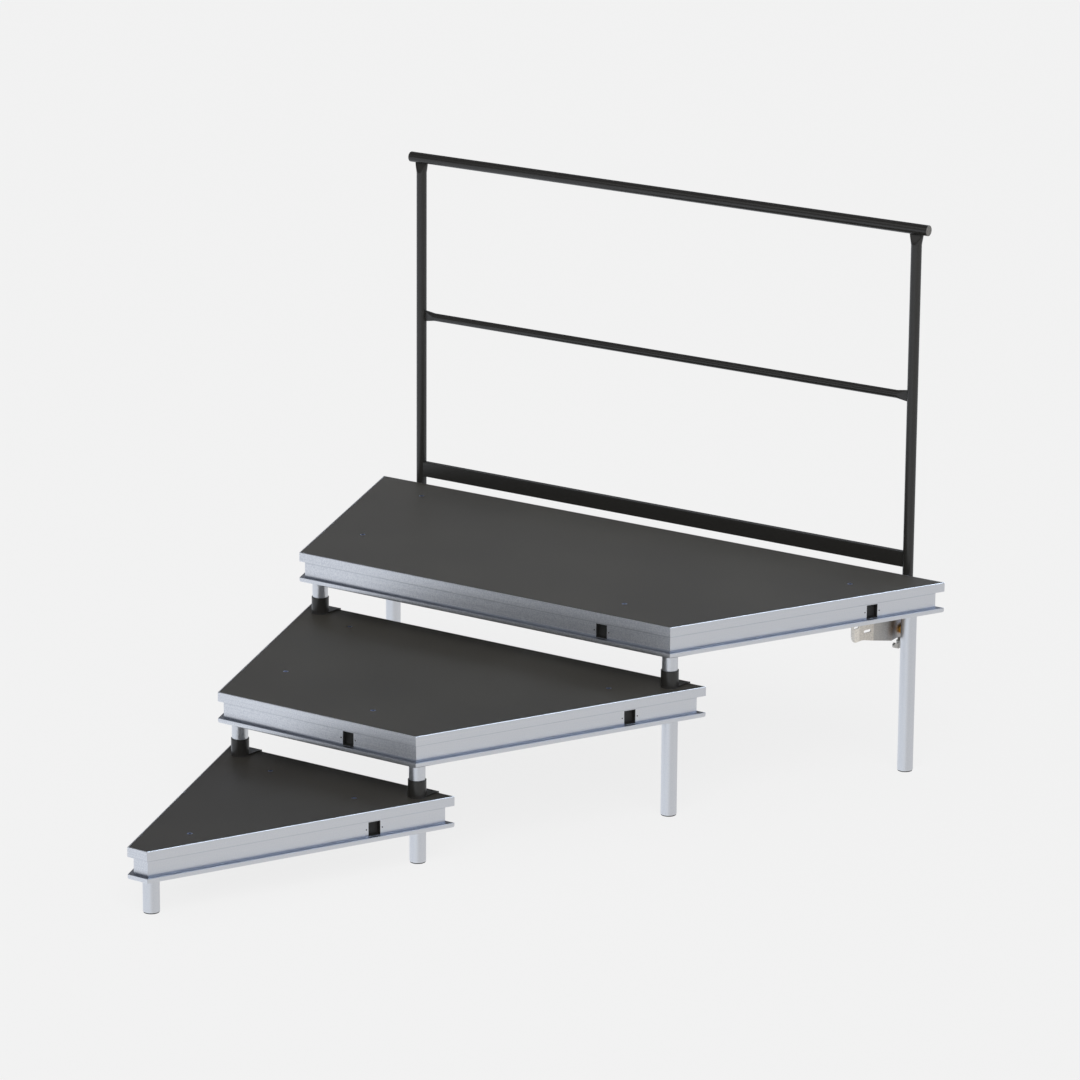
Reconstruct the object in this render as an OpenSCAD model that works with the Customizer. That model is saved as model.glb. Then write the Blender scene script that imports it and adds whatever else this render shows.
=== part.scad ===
// Choir riser: a 45 degree wedge of three stage decks on plug-in legs, with a guard rail at the back.
// Each deck is a mitred aluminium frame with a grooved outer face, a plywood board and key-turned
// coupling locks. The front legs of a deck stand in step adapters on the deck below.
// Millimetres, +Z up. The origin is on the floor, under the middle of the outer box.
// +Y points to the tall back of the riser, where the guard rail stands.

/* [Deck plan] */
// Width of the blunt nose at the front of the lowest deck
nose_width = 72.4; // [64:0.1:120]
// Angle between the two slanting sides
wedge_angle = 45; // [30:0.5:45]
// Depth of each deck from front edge to back edge
deck_depth = 920; // [880:5:940]
// How far a deck reaches over the one below it
deck_overlap = 120; // [116:1:160]
// Height from one tread to the next
step_height = 200; // [180:5:260]

/* [Frame section] */
// Height of the frame
frame_height = 95; // [92:1:110]
// Depth of the frame section, outer face to inner face
frame_section = 28; // [24:0.5:28]
// Height of the nose above the groove
nose_height = 29; // [24:0.5:34]
// Height of the lip below the groove
lip_height = 14.5; // [9:0.5:15]
// Depth of the groove between nose and lip
groove_depth = 15; // [10:0.5:18]
// Wall of the extrusion
frame_wall = 2.5; // [1.5:0.1:3]
// Rounding under the lip
lip_round = 5; // [1:0.5:8]
// Width of the rim that borders the board
rim_width = 3.5; // [3:0.25:6]

/* [Board and joists] */
// Thickness of the board
board_thickness = 12; // [9:0.5:15]
// Width of a joist under the board
joist_width = 25; // [20:1:40]
// Height of a joist
joist_height = 40; // [25:1:60]
// Distance from the front lock to the joist beside it
joist_from_lock = 60; // [50:1:120]

/* [Legs] */
// Outer diameter of a leg
leg_diameter = 48.3; // [42:0.1:50]
// Wall of a leg
leg_wall = 3.2; // [2:0.1:5]
// Leg axis from the outer face of the side
leg_from_side = 56; // [56:0.5:70]
// Leg axis from the back edge
leg_from_back = 62; // [58:0.5:70]
// Leg axis from the front edge of the middle and top decks
leg_from_front = 56; // [56:0.5:70]
// Leg axis from the front edge of the lowest deck
nose_leg_from_front = 58; // [58:0.5:70]
// Rounding at the foot of a leg
foot_round = 4; // [1:0.5:6]
// How far the foot plug stands out of the leg
plug_height = 2; // [1:0.25:5]
// Length of the plug inside the leg
plug_length = 22; // [10:1:40]
// Wall of the corner socket around a leg
socket_wall = 3.5; // [2.5:0.1:3.5]

/* [Step adapters] */
// Height of the sleeve above the tread
sleeve_height = 52.5; // [30:0.5:80]
// Wall of the sleeve
sleeve_wall = 2.55; // [2:0.05:5]
// Thickness of the base plate
adapter_plate = 4; // [2:0.25:6]
// Reach of the hook under the nose
adapter_hook = 11; // [5:0.5:13]

/* [Coupling locks] */
// Lock centre line from the end corner of a side
lock_from_corner = 258; // [240:1:300]
// The same on the left side of the lowest deck
nose_lock_from_corner = 160; // [150:1:170]
// Key spindle from the outer face of the side
spindle_from_side = 133; // [128:0.5:135]
// Width of the lock case
case_width = 39; // [37:0.5:42]
// Height of the lock case
case_height = 42.5; // [36:0.5:43]
// Top of the lock case below the tread
case_drop = 37.5; // [36:0.25:38]
// Wall of the lock case
case_wall = 2; // [1.5:0.1:2.5]
// Depth of the pocket in front of the drawn-in latch
pocket_depth = 12; // [6:0.5:14]
// Room in the case for the travel of the latch
latch_travel = 36; // [20:1:37]
// Thickness of the latch bar
latch_bar = 10; // [6:0.5:14]
// Diameter of the spindle head in the board
key_head = 17; // [14:0.5:22]
// Diameter of the spindle
spindle_diameter = 12; // [10:0.5:14]
// Size of the hexagon key across flats
key_size = 8; // [5:0.5:10]

/* [Guard rail] */
// Top of the guard rail above the top tread
guard_height = 1092; // [900:1:1200]
// Height of the middle rail axis above the top tread
mid_height = 558; // [400:1:700]
// Diameter of the top rail and of the posts
rail_diameter = 33; // [25:0.1:38]
// Diameter of the middle rail
mid_diameter = 25; // [18:0.1:27]
// Wall of the rail tubes
tube_wall = 2; // [1.5:0.1:3]
// Post axis from the back corner of the top deck
post_from_corner = 143; // [140:1:240]
// End of the top rail from the back corner of the top deck
rail_from_corner = 100; // [60:1:110]
// Height of the toe board
toe_height = 48; // [30:1:120]
// Thickness of the toe board
toe_thickness = 20; // [12:1:26]
// Gap between the tread and the toe board
toe_gap = 21; // [5:1:40]
// Thickness of a rail end cap
cap_thickness = 3; // [1:0.5:6]

/* [Rail brackets] */
// Sheet thickness of the bracket
bracket_sheet = 3; // [2:0.25:4]
// Depth of the bracket below the frame
bracket_drop = 97; // [90:1:120]
// Reach of the bracket arm under the deck
arm_reach = 300; // [270:5:330]
// Height of the finger in the groove
finger_height = 9.5; // [5:0.5:14]
// Diameter of the clamp screw
screw_diameter = 12; // [8:0.5:14]
// Radius of the wing handle
wing_reach = 34; // [22:1:40]
// Height of the wing handle
wing_height = 26; // [15:1:35]
// Diameter of the cross bolt
cross_bolt = 20; // [12:0.5:20]
// Size of the cross bolt nut across flats
nut_size = 30; // [26:0.5:32]
// Height of the cross bolt nut
nut_height = 10; // [6:0.5:12]

/* [Clearances] */
// Gap around a board, a lock case or a key head
fit_gap = 0.2; // [0.1:0.05:0.4]
// Gap between a corner block and the frame
seat_gap = 0.05; // [0.02:0.01:0.1]
// Gap around a leg or post that slides in its holder
slide_gap = 0.3; // [0.2:0.05:0.5]
// Radial clearance of a turning spindle or screw
running_gap = 0.06; // [0.02:0.01:0.1]

/* [Hidden] */
$fn = 48;

LOWER = 0;
MIDDLE = 1;
TOP = 2;
FRONT = 0;
RIGHT = 1;
BACK = 2;
LEFT = 3;
CUT = 1;

ALUMINIUM = [0.74, 0.75, 0.77];
BOARD = [0.28, 0.28, 0.27];
BLACK = [0.13, 0.13, 0.13];
STEEL = [0.62, 0.62, 0.64];
STAINLESS = [0.72, 0.70, 0.66];
YELLOW_ZINC = [0.70, 0.48, 0.16];

// The decks in plan
half_angle = wedge_angle / 2;
tread_pitch = deck_depth - deck_overlap;
plan_depth = deck_depth + 2 * tread_pitch;
back_width = nose_width + 2 * plan_depth * tan(half_angle);
post_radius = rail_diameter / 2;
post_offset = post_radius + slide_gap;
rear_reach = post_offset + post_radius + slide_gap + bracket_sheet;
rear_edge_y = (plan_depth - rear_reach) / 2;
leg_radius = leg_diameter / 2;

function deck_top(k) = step_height * (k + 1);
function back_y(k) = rear_edge_y - (TOP - k) * tread_pitch;
function front_y(k) = back_y(k) - deck_depth;
function half_width(y, inset = 0) =
    back_width / 2 + (y - rear_edge_y) * tan(half_angle) - inset / cos(half_angle);
function ring(k, inset) = [
    [-half_width(front_y(k) + inset, inset), front_y(k) + inset],
    [half_width(front_y(k) + inset, inset), front_y(k) + inset],
    [half_width(back_y(k) - inset, inset), back_y(k) - inset],
    [-half_width(back_y(k) - inset, inset), back_y(k) - inset]
];
function corner(k, side) = ring(k, 0)[side % 4];
function side_vector(k, side) = corner(k, side + 1) - corner(k, side);
function side_length(k, side) = norm(side_vector(k, side));
function side_heading(side) = [0, 90 - half_angle, 180, half_angle - 90][side];
function corner_angle(index) = index % 4 < 2 ? 90 + half_angle : 90 - half_angle;

// The frame section and what is set into it
board_inset = rim_width + fit_gap;
groove_floor = frame_height - lip_height;
shelf = board_thickness + frame_wall;

// The legs
leg_top = board_thickness + fit_gap;
socket_radius = leg_radius + socket_wall;
back_leg_y = [for (k = [LOWER:TOP]) back_y(k) - leg_from_back];
front_leg_y = [for (k = [LOWER:TOP]) front_y(k) + (k == LOWER ? nose_leg_from_front : leg_from_front)];

// The locks
lock_sides = [[RIGHT, BACK, LEFT], [FRONT, RIGHT, BACK, LEFT], [FRONT, RIGHT, BACK, LEFT]];
pinion_teeth = 10;
pinion_radius = 10;
tooth_pitch = 2 * PI * pinion_radius / pinion_teeth;
tooth_backlash = 0.8;
tooth_width = (tooth_pitch - tooth_backlash) / 2;
pressure_angle = 20;
pinion_addendum = 2;
pinion_dedendum = 1.5;
rack_addendum = 1.1;
rack_dedendum = 2.5;
base_radius = pinion_radius * cos(pressure_angle);
latch_start = groove_depth + pocket_depth;
latch_head = 20;
latch_play = 0.5;
rib_width = 4.3;
window_room = pinion_radius + pinion_addendum + latch_play;
window_start = spindle_from_side - window_room;
window_end = spindle_from_side + window_room + latch_travel;
bar_end = window_end + rib_width;
case_end = bar_end + case_wall + 2;
bar_z = -(case_drop + case_height / 2 + latch_bar / 2);
key_depth = 8;
key_recess = 0.3;
head_radius = key_head / 2;
spindle_radius = spindle_diameter / 2;

// The guard rail and its brackets
post_spacing = back_width - 2 * post_from_corner;
rail_length = back_width - 2 * rail_from_corner;
top_rail_z = deck_top(TOP) + guard_height - rail_diameter / 2;
frame_bottom = deck_top(TOP) - frame_height;
post_y = rear_edge_y + post_offset;
post_bottom = frame_bottom - bracket_drop + bracket_sheet;
flat_width = 46;
flat_thickness = 8;
flat_length = 31;
mid_flat_width = 36;
mid_flat_length = 36;
flat_step = 0.3;
cheek_inner = post_radius + slide_gap;
cheek_outer = cheek_inner + bracket_sheet;
screw_y = -(groove_depth + frame_section) / 2;
screw_radius = screw_diameter / 2;
short_cheek = 85;
bolt_y = -42;
bolt_z = -62;
bend_start = 203;
bend_end = 250;
bend_shift = 17.5;
slot_width = 3 * bracket_sheet;
low_slot_z = -0.3 * bracket_drop;
high_slot_z = -3 * bracket_sheet;
lobe_round = 26;
handle_gap = 10;
handle_wall = 4;
wing_thickness = 7;
bolt_head = 8;

// A point that lies the given way along and inwards from a side of a deck, with z = 0 on its tread
module at_side(k, side) {
    start = corner(k, side);
    translate([start[0], start[1], deck_top(k)])
        rotate([0, 0, side_heading(side)])
            children();
}

function lock_along(k, side) =
    side_length(k, side) - (k == LOWER && side == LEFT ? nose_lock_from_corner : lock_from_corner);

module at_lock(k, side) {
    at_side(k, side) translate([lock_along(k, side), 0, 0]) children();
}

// The extruded section: x runs inwards from the outer face, y is the height below the tread
module frame_profile() {
    difference() {
        polygon([
            [0, 0], [rim_width, 0], [rim_width, -board_thickness], [frame_section, -board_thickness],
            [frame_section, -frame_height], [0, -frame_height], [0, -groove_floor],
            [groove_depth, -groove_floor], [groove_depth, -nose_height], [0, -nose_height]
        ]);
        translate([0, -frame_height]) difference() {
            translate([-CUT, -CUT]) square(lip_round + CUT);
            translate([lip_round, lip_round]) circle(lip_round);
        }
        translate([frame_wall, frame_wall - nose_height])
            square([groove_depth - frame_wall, nose_height - frame_wall - shelf]);
        translate([groove_depth + frame_wall, frame_wall - frame_height])
            square([frame_section - groove_depth - 2 * frame_wall, frame_height - frame_wall - shelf]);
        translate([lip_round, frame_wall - frame_height])
            square([groove_depth - lip_round, lip_height - 2 * frame_wall]);
    }
}

module frame_rail(k, side) {
    length = side_length(k, side);
    start_cut = frame_section / tan(corner_angle(side) / 2);
    end_cut = frame_section / tan(corner_angle(side + 1) / 2);
    has_lock = len(search(side, lock_sides[k])) > 0;
    color(ALUMINIUM) at_side(k, side) difference() {
        intersection() {
            rotate([90, 0, 90]) linear_extrude(length) frame_profile();
            translate([0, 0, -frame_height]) linear_extrude(frame_height) polygon([
                [0, 0], [length, 0], [length - end_cut, frame_section], [start_cut, frame_section]
            ]);
        }
        if (has_lock)
            translate([
                lock_along(k, side) - case_width / 2 - fit_gap,
                groove_depth - CUT,
                -case_drop - case_height - fit_gap
            ])
                cube([case_width + 2 * fit_gap, frame_section, case_height + 2 * fit_gap]);
    }
}

module side_rails(k) {
    frame_rail(k, RIGHT);
    frame_rail(k, LEFT);
}

module deck_board(k) {
    color(BOARD) difference() {
        translate([0, 0, deck_top(k) - board_thickness])
            linear_extrude(board_thickness) polygon(ring(k, board_inset));
        for (side = lock_sides[k])
            at_lock(k, side)
                translate([0, spindle_from_side, -board_thickness - CUT])
                    cylinder(r = head_radius + fit_gap, h = board_thickness + 2 * CUT);
    }
}

module deck_joists(k, places) {
    spread = half_width(front_y(k)) - lock_from_corner + joist_from_lock;
    length = deck_depth - 2 * frame_section;
    color(ALUMINIUM) for (place = places)
        translate([
            place * spread - joist_width / 2, front_y(k) + frame_section, deck_top(k) - board_thickness
        ])
            rotate([-90, 0, 0]) linear_extrude(length) difference() {
                square([joist_width, joist_height]);
                translate([frame_wall, frame_wall])
                    square([joist_width - 2 * frame_wall, joist_height - 2 * frame_wall]);
            }
}

// Legs of a deck, as [x, y, z of the foot]
function back_legs(k) = [
    for (s = [-1, 1]) [s * half_width(back_leg_y[k], leg_from_side), back_leg_y[k], 0]
];
function front_legs(k) = k == LOWER ? [[0, front_leg_y[k], 0]] : [
    for (s = [-1, 1])
        [s * half_width(front_leg_y[k], leg_from_side), front_leg_y[k], deck_top(k - 1) + adapter_plate]
];
function legs(k) = concat(front_legs(k), back_legs(k));

module deck_legs(k) {
    color(ALUMINIUM) for (p = legs(k)) translate(p) rotate_extrude() difference() {
        translate([0, plug_height]) union() {
            translate([0, foot_round])
                square([leg_radius, deck_top(k) - leg_top - p[2] - plug_height - foot_round]);
            square([leg_radius - foot_round, foot_round]);
            translate([leg_radius - foot_round, foot_round]) circle(foot_round);
        }
        square([leg_radius - leg_wall, deck_top(k)]);
        translate([-leg_radius, 0]) square([leg_radius, deck_top(k)]);
    }
}

module deck_foot_plugs(k) {
    core = leg_radius - leg_wall - fit_gap;
    color(BLACK) for (p = legs(k)) translate(p) {
        cylinder(r = leg_radius - foot_round, h = plug_height);
        cylinder(r = core, h = plug_height + plug_length);
    }
}

function unit(v) = v / norm(v);

// The point on an inner frame face where a socket ends: from the inner corner towards another corner
function wall_point(from, to, leg) =
    from + unit(to - from) * ((leg - from) * unit(to - from) + socket_radius);

module corner_socket(outline, leg, k) {
    translate([0, 0, deck_top(k) - frame_height]) difference() {
        linear_extrude(frame_height - shelf) union() {
            polygon(outline);
            translate(leg) circle(socket_radius);
        }
        translate([leg[0], leg[1], -CUT]) cylinder(r = leg_radius + fit_gap, h = frame_height);
    }
}

module corner_block(k, index, leg) {
    inner = ring(k, frame_section + seat_gap);
    here = inner[index];
    next = wall_point(here, inner[(index + 1) % 4], leg);
    previous = wall_point(here, inner[(index + 3) % 4], leg);
    corner_socket([here, next, leg, previous], leg, k);
}

module nose_block(leg) {
    inner = ring(LOWER, frame_section + seat_gap);
    right = wall_point(inner[1], inner[2], leg);
    left = wall_point(inner[0], inner[3], leg);
    corner_socket([inner[0], inner[1], right, leg, left], leg, LOWER);
}

module deck_corner_blocks(k) {
    back_leg = [half_width(back_leg_y[k], leg_from_side), back_leg_y[k]];
    front_leg = [half_width(front_leg_y[k], leg_from_side), front_leg_y[k]];
    color(ALUMINIUM) {
        corner_block(k, 2, back_leg);
        corner_block(k, 3, [-back_leg[0], back_leg[1]]);
        if (k == LOWER) nose_block([0, front_leg[1]]);
        if (k > LOWER) {
            corner_block(k, 1, front_leg);
            corner_block(k, 0, [-front_leg[0], front_leg[1]]);
        }
    }
}

// Step adapter: sleeve on a plate that runs to the back edge and hooks under the nose
module step_adapters(k) {
    outer = leg_radius + slide_gap + sleeve_wall;
    edge = deck_overlap - leg_from_front + fit_gap;
    color(BLACK) for (p = front_legs(k + 1)) translate([p[0], p[1], deck_top(k)]) {
        difference() {
            cylinder(r = outer, h = sleeve_height);
            translate([0, 0, adapter_plate]) cylinder(r = leg_radius + slide_gap, h = sleeve_height);
        }
        difference() {
            translate([-outer, 0, 0]) cube([2 * outer, edge + adapter_plate, adapter_plate]);
            cylinder(r = outer - CUT, h = adapter_plate);
        }
        translate([-outer, edge, -nose_height - fit_gap - adapter_plate])
            cube([2 * outer, adapter_plate, nose_height + fit_gap + 2 * adapter_plate]);
        translate([-outer, edge - adapter_hook, -nose_height - fit_gap - adapter_plate])
            cube([2 * outer, adapter_hook + adapter_plate, adapter_plate]);
    }
}

// Lock case: a box tube through the frame, open at the pocket and closed inside the deck
module lock_case() {
    case_length = case_end - groove_depth;
    translate([-case_width / 2, groove_depth, -case_drop - case_height]) difference() {
        cube([case_width, case_length, case_height]);
        translate([case_wall, -CUT, case_wall])
            cube([case_width - 2 * case_wall, case_length - case_wall + CUT, case_height - 2 * case_wall]);
        translate([case_width / 2, spindle_from_side - groove_depth, -CUT])
            cylinder(r = spindle_radius + running_gap, h = case_height + 2 * CUT);
    }
}

module deck_lock_cases(k) {
    color(BLACK) for (side = lock_sides[k]) at_lock(k, side) lock_case();
}

// Involute angle at a radius, in degrees
function involute(radius) =
    let (angle = acos(min(1, base_radius / radius))) tan(angle) * 180 / PI - angle;
function tooth_half_angle(radius) =
    tooth_width / 2 / pinion_radius * 180 / PI
    + involute(pinion_radius) - involute(max(radius, base_radius));
function on_circle(radius, angle) = radius * [cos(angle), sin(angle)];

module pinion_section() {
    root = pinion_radius - pinion_dedendum;
    tip = pinion_radius + pinion_addendum;
    radii = concat([root - CUT], [for (i = [0:4]) base_radius + (tip - base_radius) * i / 4]);
    circle(root);
    for (tooth = [0:pinion_teeth - 1])
        rotate(180 + tooth * 360 / pinion_teeth)
            polygon(concat(
                [for (r = radii) on_circle(r, -tooth_half_angle(r))],
                [for (i = [len(radii) - 1:-1:0]) on_circle(radii[i], tooth_half_angle(radii[i]))]
            ));
}

// Rack tooth that points to +x from the pitch line, centred on y = 0
module rack_tooth() {
    slope = tan(pressure_angle);
    polygon([
        [-rack_dedendum, -tooth_width / 2 - rack_dedendum * slope],
        [rack_addendum, -tooth_width / 2 + rack_addendum * slope],
        [rack_addendum, tooth_width / 2 - rack_addendum * slope],
        [-rack_dedendum, tooth_width / 2 + rack_dedendum * slope]
    ]);
}

// Sliding latch: a head that fills the case and a bar with a toothed window for the pinion
module coupling_latch(k, side) {
    head_half = case_width / 2 - case_wall - latch_play;
    head_tall = case_height - 2 * (case_wall + latch_play);
    bar_half = window_room + rib_width - latch_play;
    first = ceil((window_start - spindle_from_side) / tooth_pitch - 0.5);
    last = floor((window_end - spindle_from_side) / tooth_pitch - 0.5);
    color(BLACK) at_lock(k, side) {
        translate([-head_half, latch_start, -case_drop - case_wall - latch_play - head_tall])
            cube([2 * head_half, latch_head, head_tall]);
        translate([0, 0, bar_z]) linear_extrude(latch_bar) {
            difference() {
                translate([-bar_half, latch_start]) square([2 * bar_half, bar_end - latch_start]);
                translate([-window_room, window_start])
                    square([2 * window_room, window_end - window_start]);
            }
            intersection() {
                translate([-bar_half, window_start]) square([bar_half, window_end - window_start]);
                for (i = [first:last])
                    translate([-pinion_radius, spindle_from_side + (i + 0.5) * tooth_pitch]) rack_tooth();
            }
        }
    }
}

// Key spindle: flush head with a hexagon socket, shaft and pinion
module key_spindle(k, side) {
    shaft = case_drop + case_height;
    color(STEEL) at_lock(k, side) translate([0, spindle_from_side, 0]) {
        difference() {
            translate([0, 0, -board_thickness]) cylinder(r = head_radius, h = board_thickness - key_recess);
            translate([0, 0, -key_depth]) cylinder(d = key_size / cos(30), h = key_depth + CUT, $fn = 6);
        }
        translate([0, 0, -shaft]) cylinder(r = spindle_radius, h = shaft - board_thickness);
        translate([0, 0, bar_z]) linear_extrude(latch_bar) pinion_section();
    }
}

module at_post(side) {
    translate([side * post_spacing / 2, rear_edge_y, frame_bottom])
        mirror([side < 0 ? 1 : 0, 0, 0])
            children();
}

// Outline of a bracket cheek: x is the way in from the back edge, y the height above the frame bottom
module cheek_outline() {
    outer = -(post_offset + cheek_outer);
    finger = groove_depth - fit_gap;
    difference() {
        union() {
            polygon([
                [outer, lip_height + finger_height], [finger, lip_height + finger_height],
                [finger, lip_height + fit_gap], [-fit_gap, lip_height + fit_gap],
                [-fit_gap, -fit_gap], [arm_reach, -fit_gap],
                [arm_reach, -0.32 * bracket_drop], [arm_reach - lobe_round, -0.58 * bracket_drop],
                [bend_start, -0.66 * bracket_drop], [1.18 * short_cheek, -0.91 * bracket_drop],
                [0.9 * short_cheek, -0.89 * bracket_drop], [outer, -bracket_drop]
            ]);
            translate([arm_reach - lobe_round, -0.32 * bracket_drop]) circle(lobe_round);
        }
        slot(bend_start + 4 * bracket_sheet, bend_end - 2 * bracket_sheet, low_slot_z);
        slot(bend_end + 5 * bracket_sheet, arm_reach - 4 * bracket_sheet, high_slot_z);
    }
}

module slot(start, end, height) {
    translate([start + slot_width / 2, height]) circle(d = slot_width);
    translate([end - slot_width / 2, height]) circle(d = slot_width);
    translate([start + slot_width / 2, height - slot_width / 2])
        square([end - start - slot_width, slot_width]);
}

// Plan of the folded sheet, with x to the side and y out of the deck
module bracket_plan() {
    outer_y = post_offset + cheek_outer;
    bent = cheek_outer - bend_shift;
    polygon([
        [-cheek_outer, outer_y], [-cheek_outer, -short_cheek], [-cheek_inner, -short_cheek],
        [-cheek_inner, post_offset + cheek_inner], [cheek_inner, post_offset + cheek_inner],
        [cheek_inner, -bend_start], [bent - bracket_sheet, -bend_end], [bent - bracket_sheet, -arm_reach],
        [bent, -arm_reach], [bent, -bend_end], [cheek_outer, -bend_start], [cheek_outer, outer_y]
    ]);
}

module rail_bracket() {
    bridge_low = 0.9 * bracket_drop;
    bridge_tall = 18;
    bridge_long = 26;
    difference() {
        intersection() {
            translate([0, 0, -bracket_drop]) linear_extrude(bracket_drop + frame_height) bracket_plan();
            translate([-2 * cheek_outer, 0, 0]) rotate([90, 0, -90]) mirror([0, 0, 1])
                linear_extrude(4 * cheek_outer) cheek_outline();
        }
        translate([-2 * cheek_outer, bolt_y, bolt_z]) rotate([0, 90, 0])
            cylinder(d = cross_bolt + 2 * fit_gap, h = 4 * cheek_outer);
    }
    translate([-cheek_outer, slide_gap, -bracket_drop])
        cube([2 * cheek_outer, post_offset + cheek_inner, bracket_sheet]);
    difference() {
        translate([-cheek_outer, screw_y - bridge_long / 2, -bridge_low])
            cube([2 * cheek_outer, bridge_long, bridge_tall]);
        translate([0, screw_y, -bridge_low - CUT])
            cylinder(r = screw_radius + running_gap, h = bridge_tall + 2 * CUT);
    }
}

module clamp_screw(side) {
    hub_low = bracket_drop + handle_gap + wing_height;
    hub_radius = screw_radius + handle_wall;
    color(STEEL) at_post(side) translate([0, screw_y, -hub_low]) {
        cylinder(r = hub_radius, h = wing_height);
        cylinder(r = screw_radius, h = hub_low);
        for (turn = [0, 180]) rotate([0, 0, turn - 90]) translate([0, wing_thickness / 2, 0])
            rotate([90, 0, 0]) linear_extrude(wing_thickness) hull() {
                translate([hub_radius - 2, wing_height / 3]) circle(wing_height / 3);
                translate([wing_reach - wing_height / 3, wing_height * 2 / 3]) circle(wing_height / 3);
            }
    }
}

module bracket_bolt() {
    translate([-cheek_outer - bolt_head, bolt_y, bolt_z]) rotate([0, 90, 0]) {
        cylinder(d = nut_size / cos(30), h = bolt_head, $fn = 6);
        cylinder(d = cross_bolt, h = bolt_head + 2 * cheek_outer + nut_height);
    }
}

module bracket_nut() {
    translate([cheek_outer, bolt_y, bolt_z]) rotate([0, 90, 0]) difference() {
        cylinder(d = nut_size / cos(30), h = nut_height, $fn = 6);
        translate([0, 0, -CUT]) cylinder(d = cross_bolt + 2 * running_gap, h = nut_height + 2 * CUT);
    }
}

module rail_brackets() {
    color(STAINLESS) for (side = [-1, 1]) at_post(side) rail_bracket();
}

module bracket_bolts() {
    color(STEEL) for (side = [-1, 1]) at_post(side) bracket_bolt();
}

module bracket_nuts() {
    color(YELLOW_ZINC) for (side = [-1, 1]) at_post(side) bracket_nut();
}

// Post: round tube whose top end is pressed flat under the top rail
module guard_posts() {
    flat_top = top_rail_z - rail_diameter / 2;
    round_top = flat_top - flat_length;
    color(BLACK) for (side = [-1, 1]) translate([side * post_spacing / 2, post_y, 0]) {
        translate([0, 0, post_bottom]) difference() {
            cylinder(r = post_radius, h = round_top - post_bottom);
            translate([0, 0, -CUT]) cylinder(r = post_radius - tube_wall, h = round_top - post_bottom);
        }
        hull() {
            translate([0, 0, round_top]) cylinder(r = post_radius - flat_step, h = CUT, $fn = 32);
            translate([-flat_width / 2, -flat_thickness / 2, flat_top - CUT])
                cube([flat_width, flat_thickness, CUT]);
        }
    }
}

module guard_top_rail() {
    length = rail_length - 2 * cap_thickness;
    color(BLACK) translate([-length / 2, post_y, top_rail_z]) rotate([0, 90, 0]) difference() {
        cylinder(d = rail_diameter, h = length);
        translate([0, 0, -CUT]) cylinder(d = rail_diameter - 2 * tube_wall, h = length + 2 * CUT);
    }
}

module guard_rail_caps() {
    spigot = 15;
    color(BLACK) for (side = [-1, 1])
        translate([side * rail_length / 2, post_y, top_rail_z]) rotate([0, -90 * side, 0]) {
            cylinder(d = rail_diameter, h = cap_thickness);
            cylinder(d = rail_diameter - 2 * tube_wall - 2 * fit_gap, h = cap_thickness + spigot);
        }
}

// Middle rail: round tube with both ends pressed flat against the posts
module guard_mid_rail() {
    half = post_spacing / 2 - post_radius;
    round_half = half - mid_flat_length;
    color(BLACK) translate([0, post_y, deck_top(TOP) + mid_height]) {
        rotate([0, 90, 0]) difference() {
            translate([0, 0, -round_half]) cylinder(d = mid_diameter, h = 2 * round_half);
            translate([0, 0, CUT - round_half])
                cylinder(d = mid_diameter - 2 * tube_wall, h = 2 * (round_half - CUT));
        }
        for (side = [-1, 1]) hull() {
            translate([side * round_half, 0, 0]) rotate([0, -90 * side, 0])
                cylinder(r = mid_diameter / 2 - flat_step, h = CUT, $fn = 32);
            translate([side * half - (side > 0 ? CUT : 0), -flat_thickness / 2, -mid_flat_width / 2])
                cube([CUT, flat_thickness, mid_flat_width]);
        }
    }
}

module guard_toe_board() {
    length = post_spacing - 2 * post_radius;
    color(BLACK) translate([-length / 2, post_y - toe_thickness / 2, deck_top(TOP) + toe_gap])
        difference() {
            cube([length, toe_thickness, toe_height]);
            translate([-CUT, tube_wall, tube_wall])
                cube([length + 2 * CUT, toe_thickness - 2 * tube_wall, toe_height - 2 * tube_wall]);
        }
}

module lower_board() { deck_board(LOWER); }
module lower_front_rail() { frame_rail(LOWER, FRONT); }
module lower_side_rails() { side_rails(LOWER); }
module lower_back_rail() { frame_rail(LOWER, BACK); }
module lower_corner_blocks() { deck_corner_blocks(LOWER); }
module lower_legs() { deck_legs(LOWER); }
module lower_foot_plugs() { deck_foot_plugs(LOWER); }
module lower_lock_cases() { deck_lock_cases(LOWER); }
module lower_right_latch() { coupling_latch(LOWER, RIGHT); }
module lower_right_key_spindle() { key_spindle(LOWER, RIGHT); }
module lower_back_latch() { coupling_latch(LOWER, BACK); }
module lower_back_key_spindle() { key_spindle(LOWER, BACK); }
module lower_left_latch() { coupling_latch(LOWER, LEFT); }
module lower_left_key_spindle() { key_spindle(LOWER, LEFT); }
module lower_step_adapters() { step_adapters(LOWER); }
module middle_board() { deck_board(MIDDLE); }
module middle_front_rail() { frame_rail(MIDDLE, FRONT); }
module middle_side_rails() { side_rails(MIDDLE); }
module middle_back_rail() { frame_rail(MIDDLE, BACK); }
module middle_joists() { deck_joists(MIDDLE, [-1, 1]); }
module middle_corner_blocks() { deck_corner_blocks(MIDDLE); }
module middle_legs() { deck_legs(MIDDLE); }
module middle_foot_plugs() { deck_foot_plugs(MIDDLE); }
module middle_lock_cases() { deck_lock_cases(MIDDLE); }
module middle_front_latch() { coupling_latch(MIDDLE, FRONT); }
module middle_front_key_spindle() { key_spindle(MIDDLE, FRONT); }
module middle_right_latch() { coupling_latch(MIDDLE, RIGHT); }
module middle_right_key_spindle() { key_spindle(MIDDLE, RIGHT); }
module middle_back_latch() { coupling_latch(MIDDLE, BACK); }
module middle_back_key_spindle() { key_spindle(MIDDLE, BACK); }
module middle_left_latch() { coupling_latch(MIDDLE, LEFT); }
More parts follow.
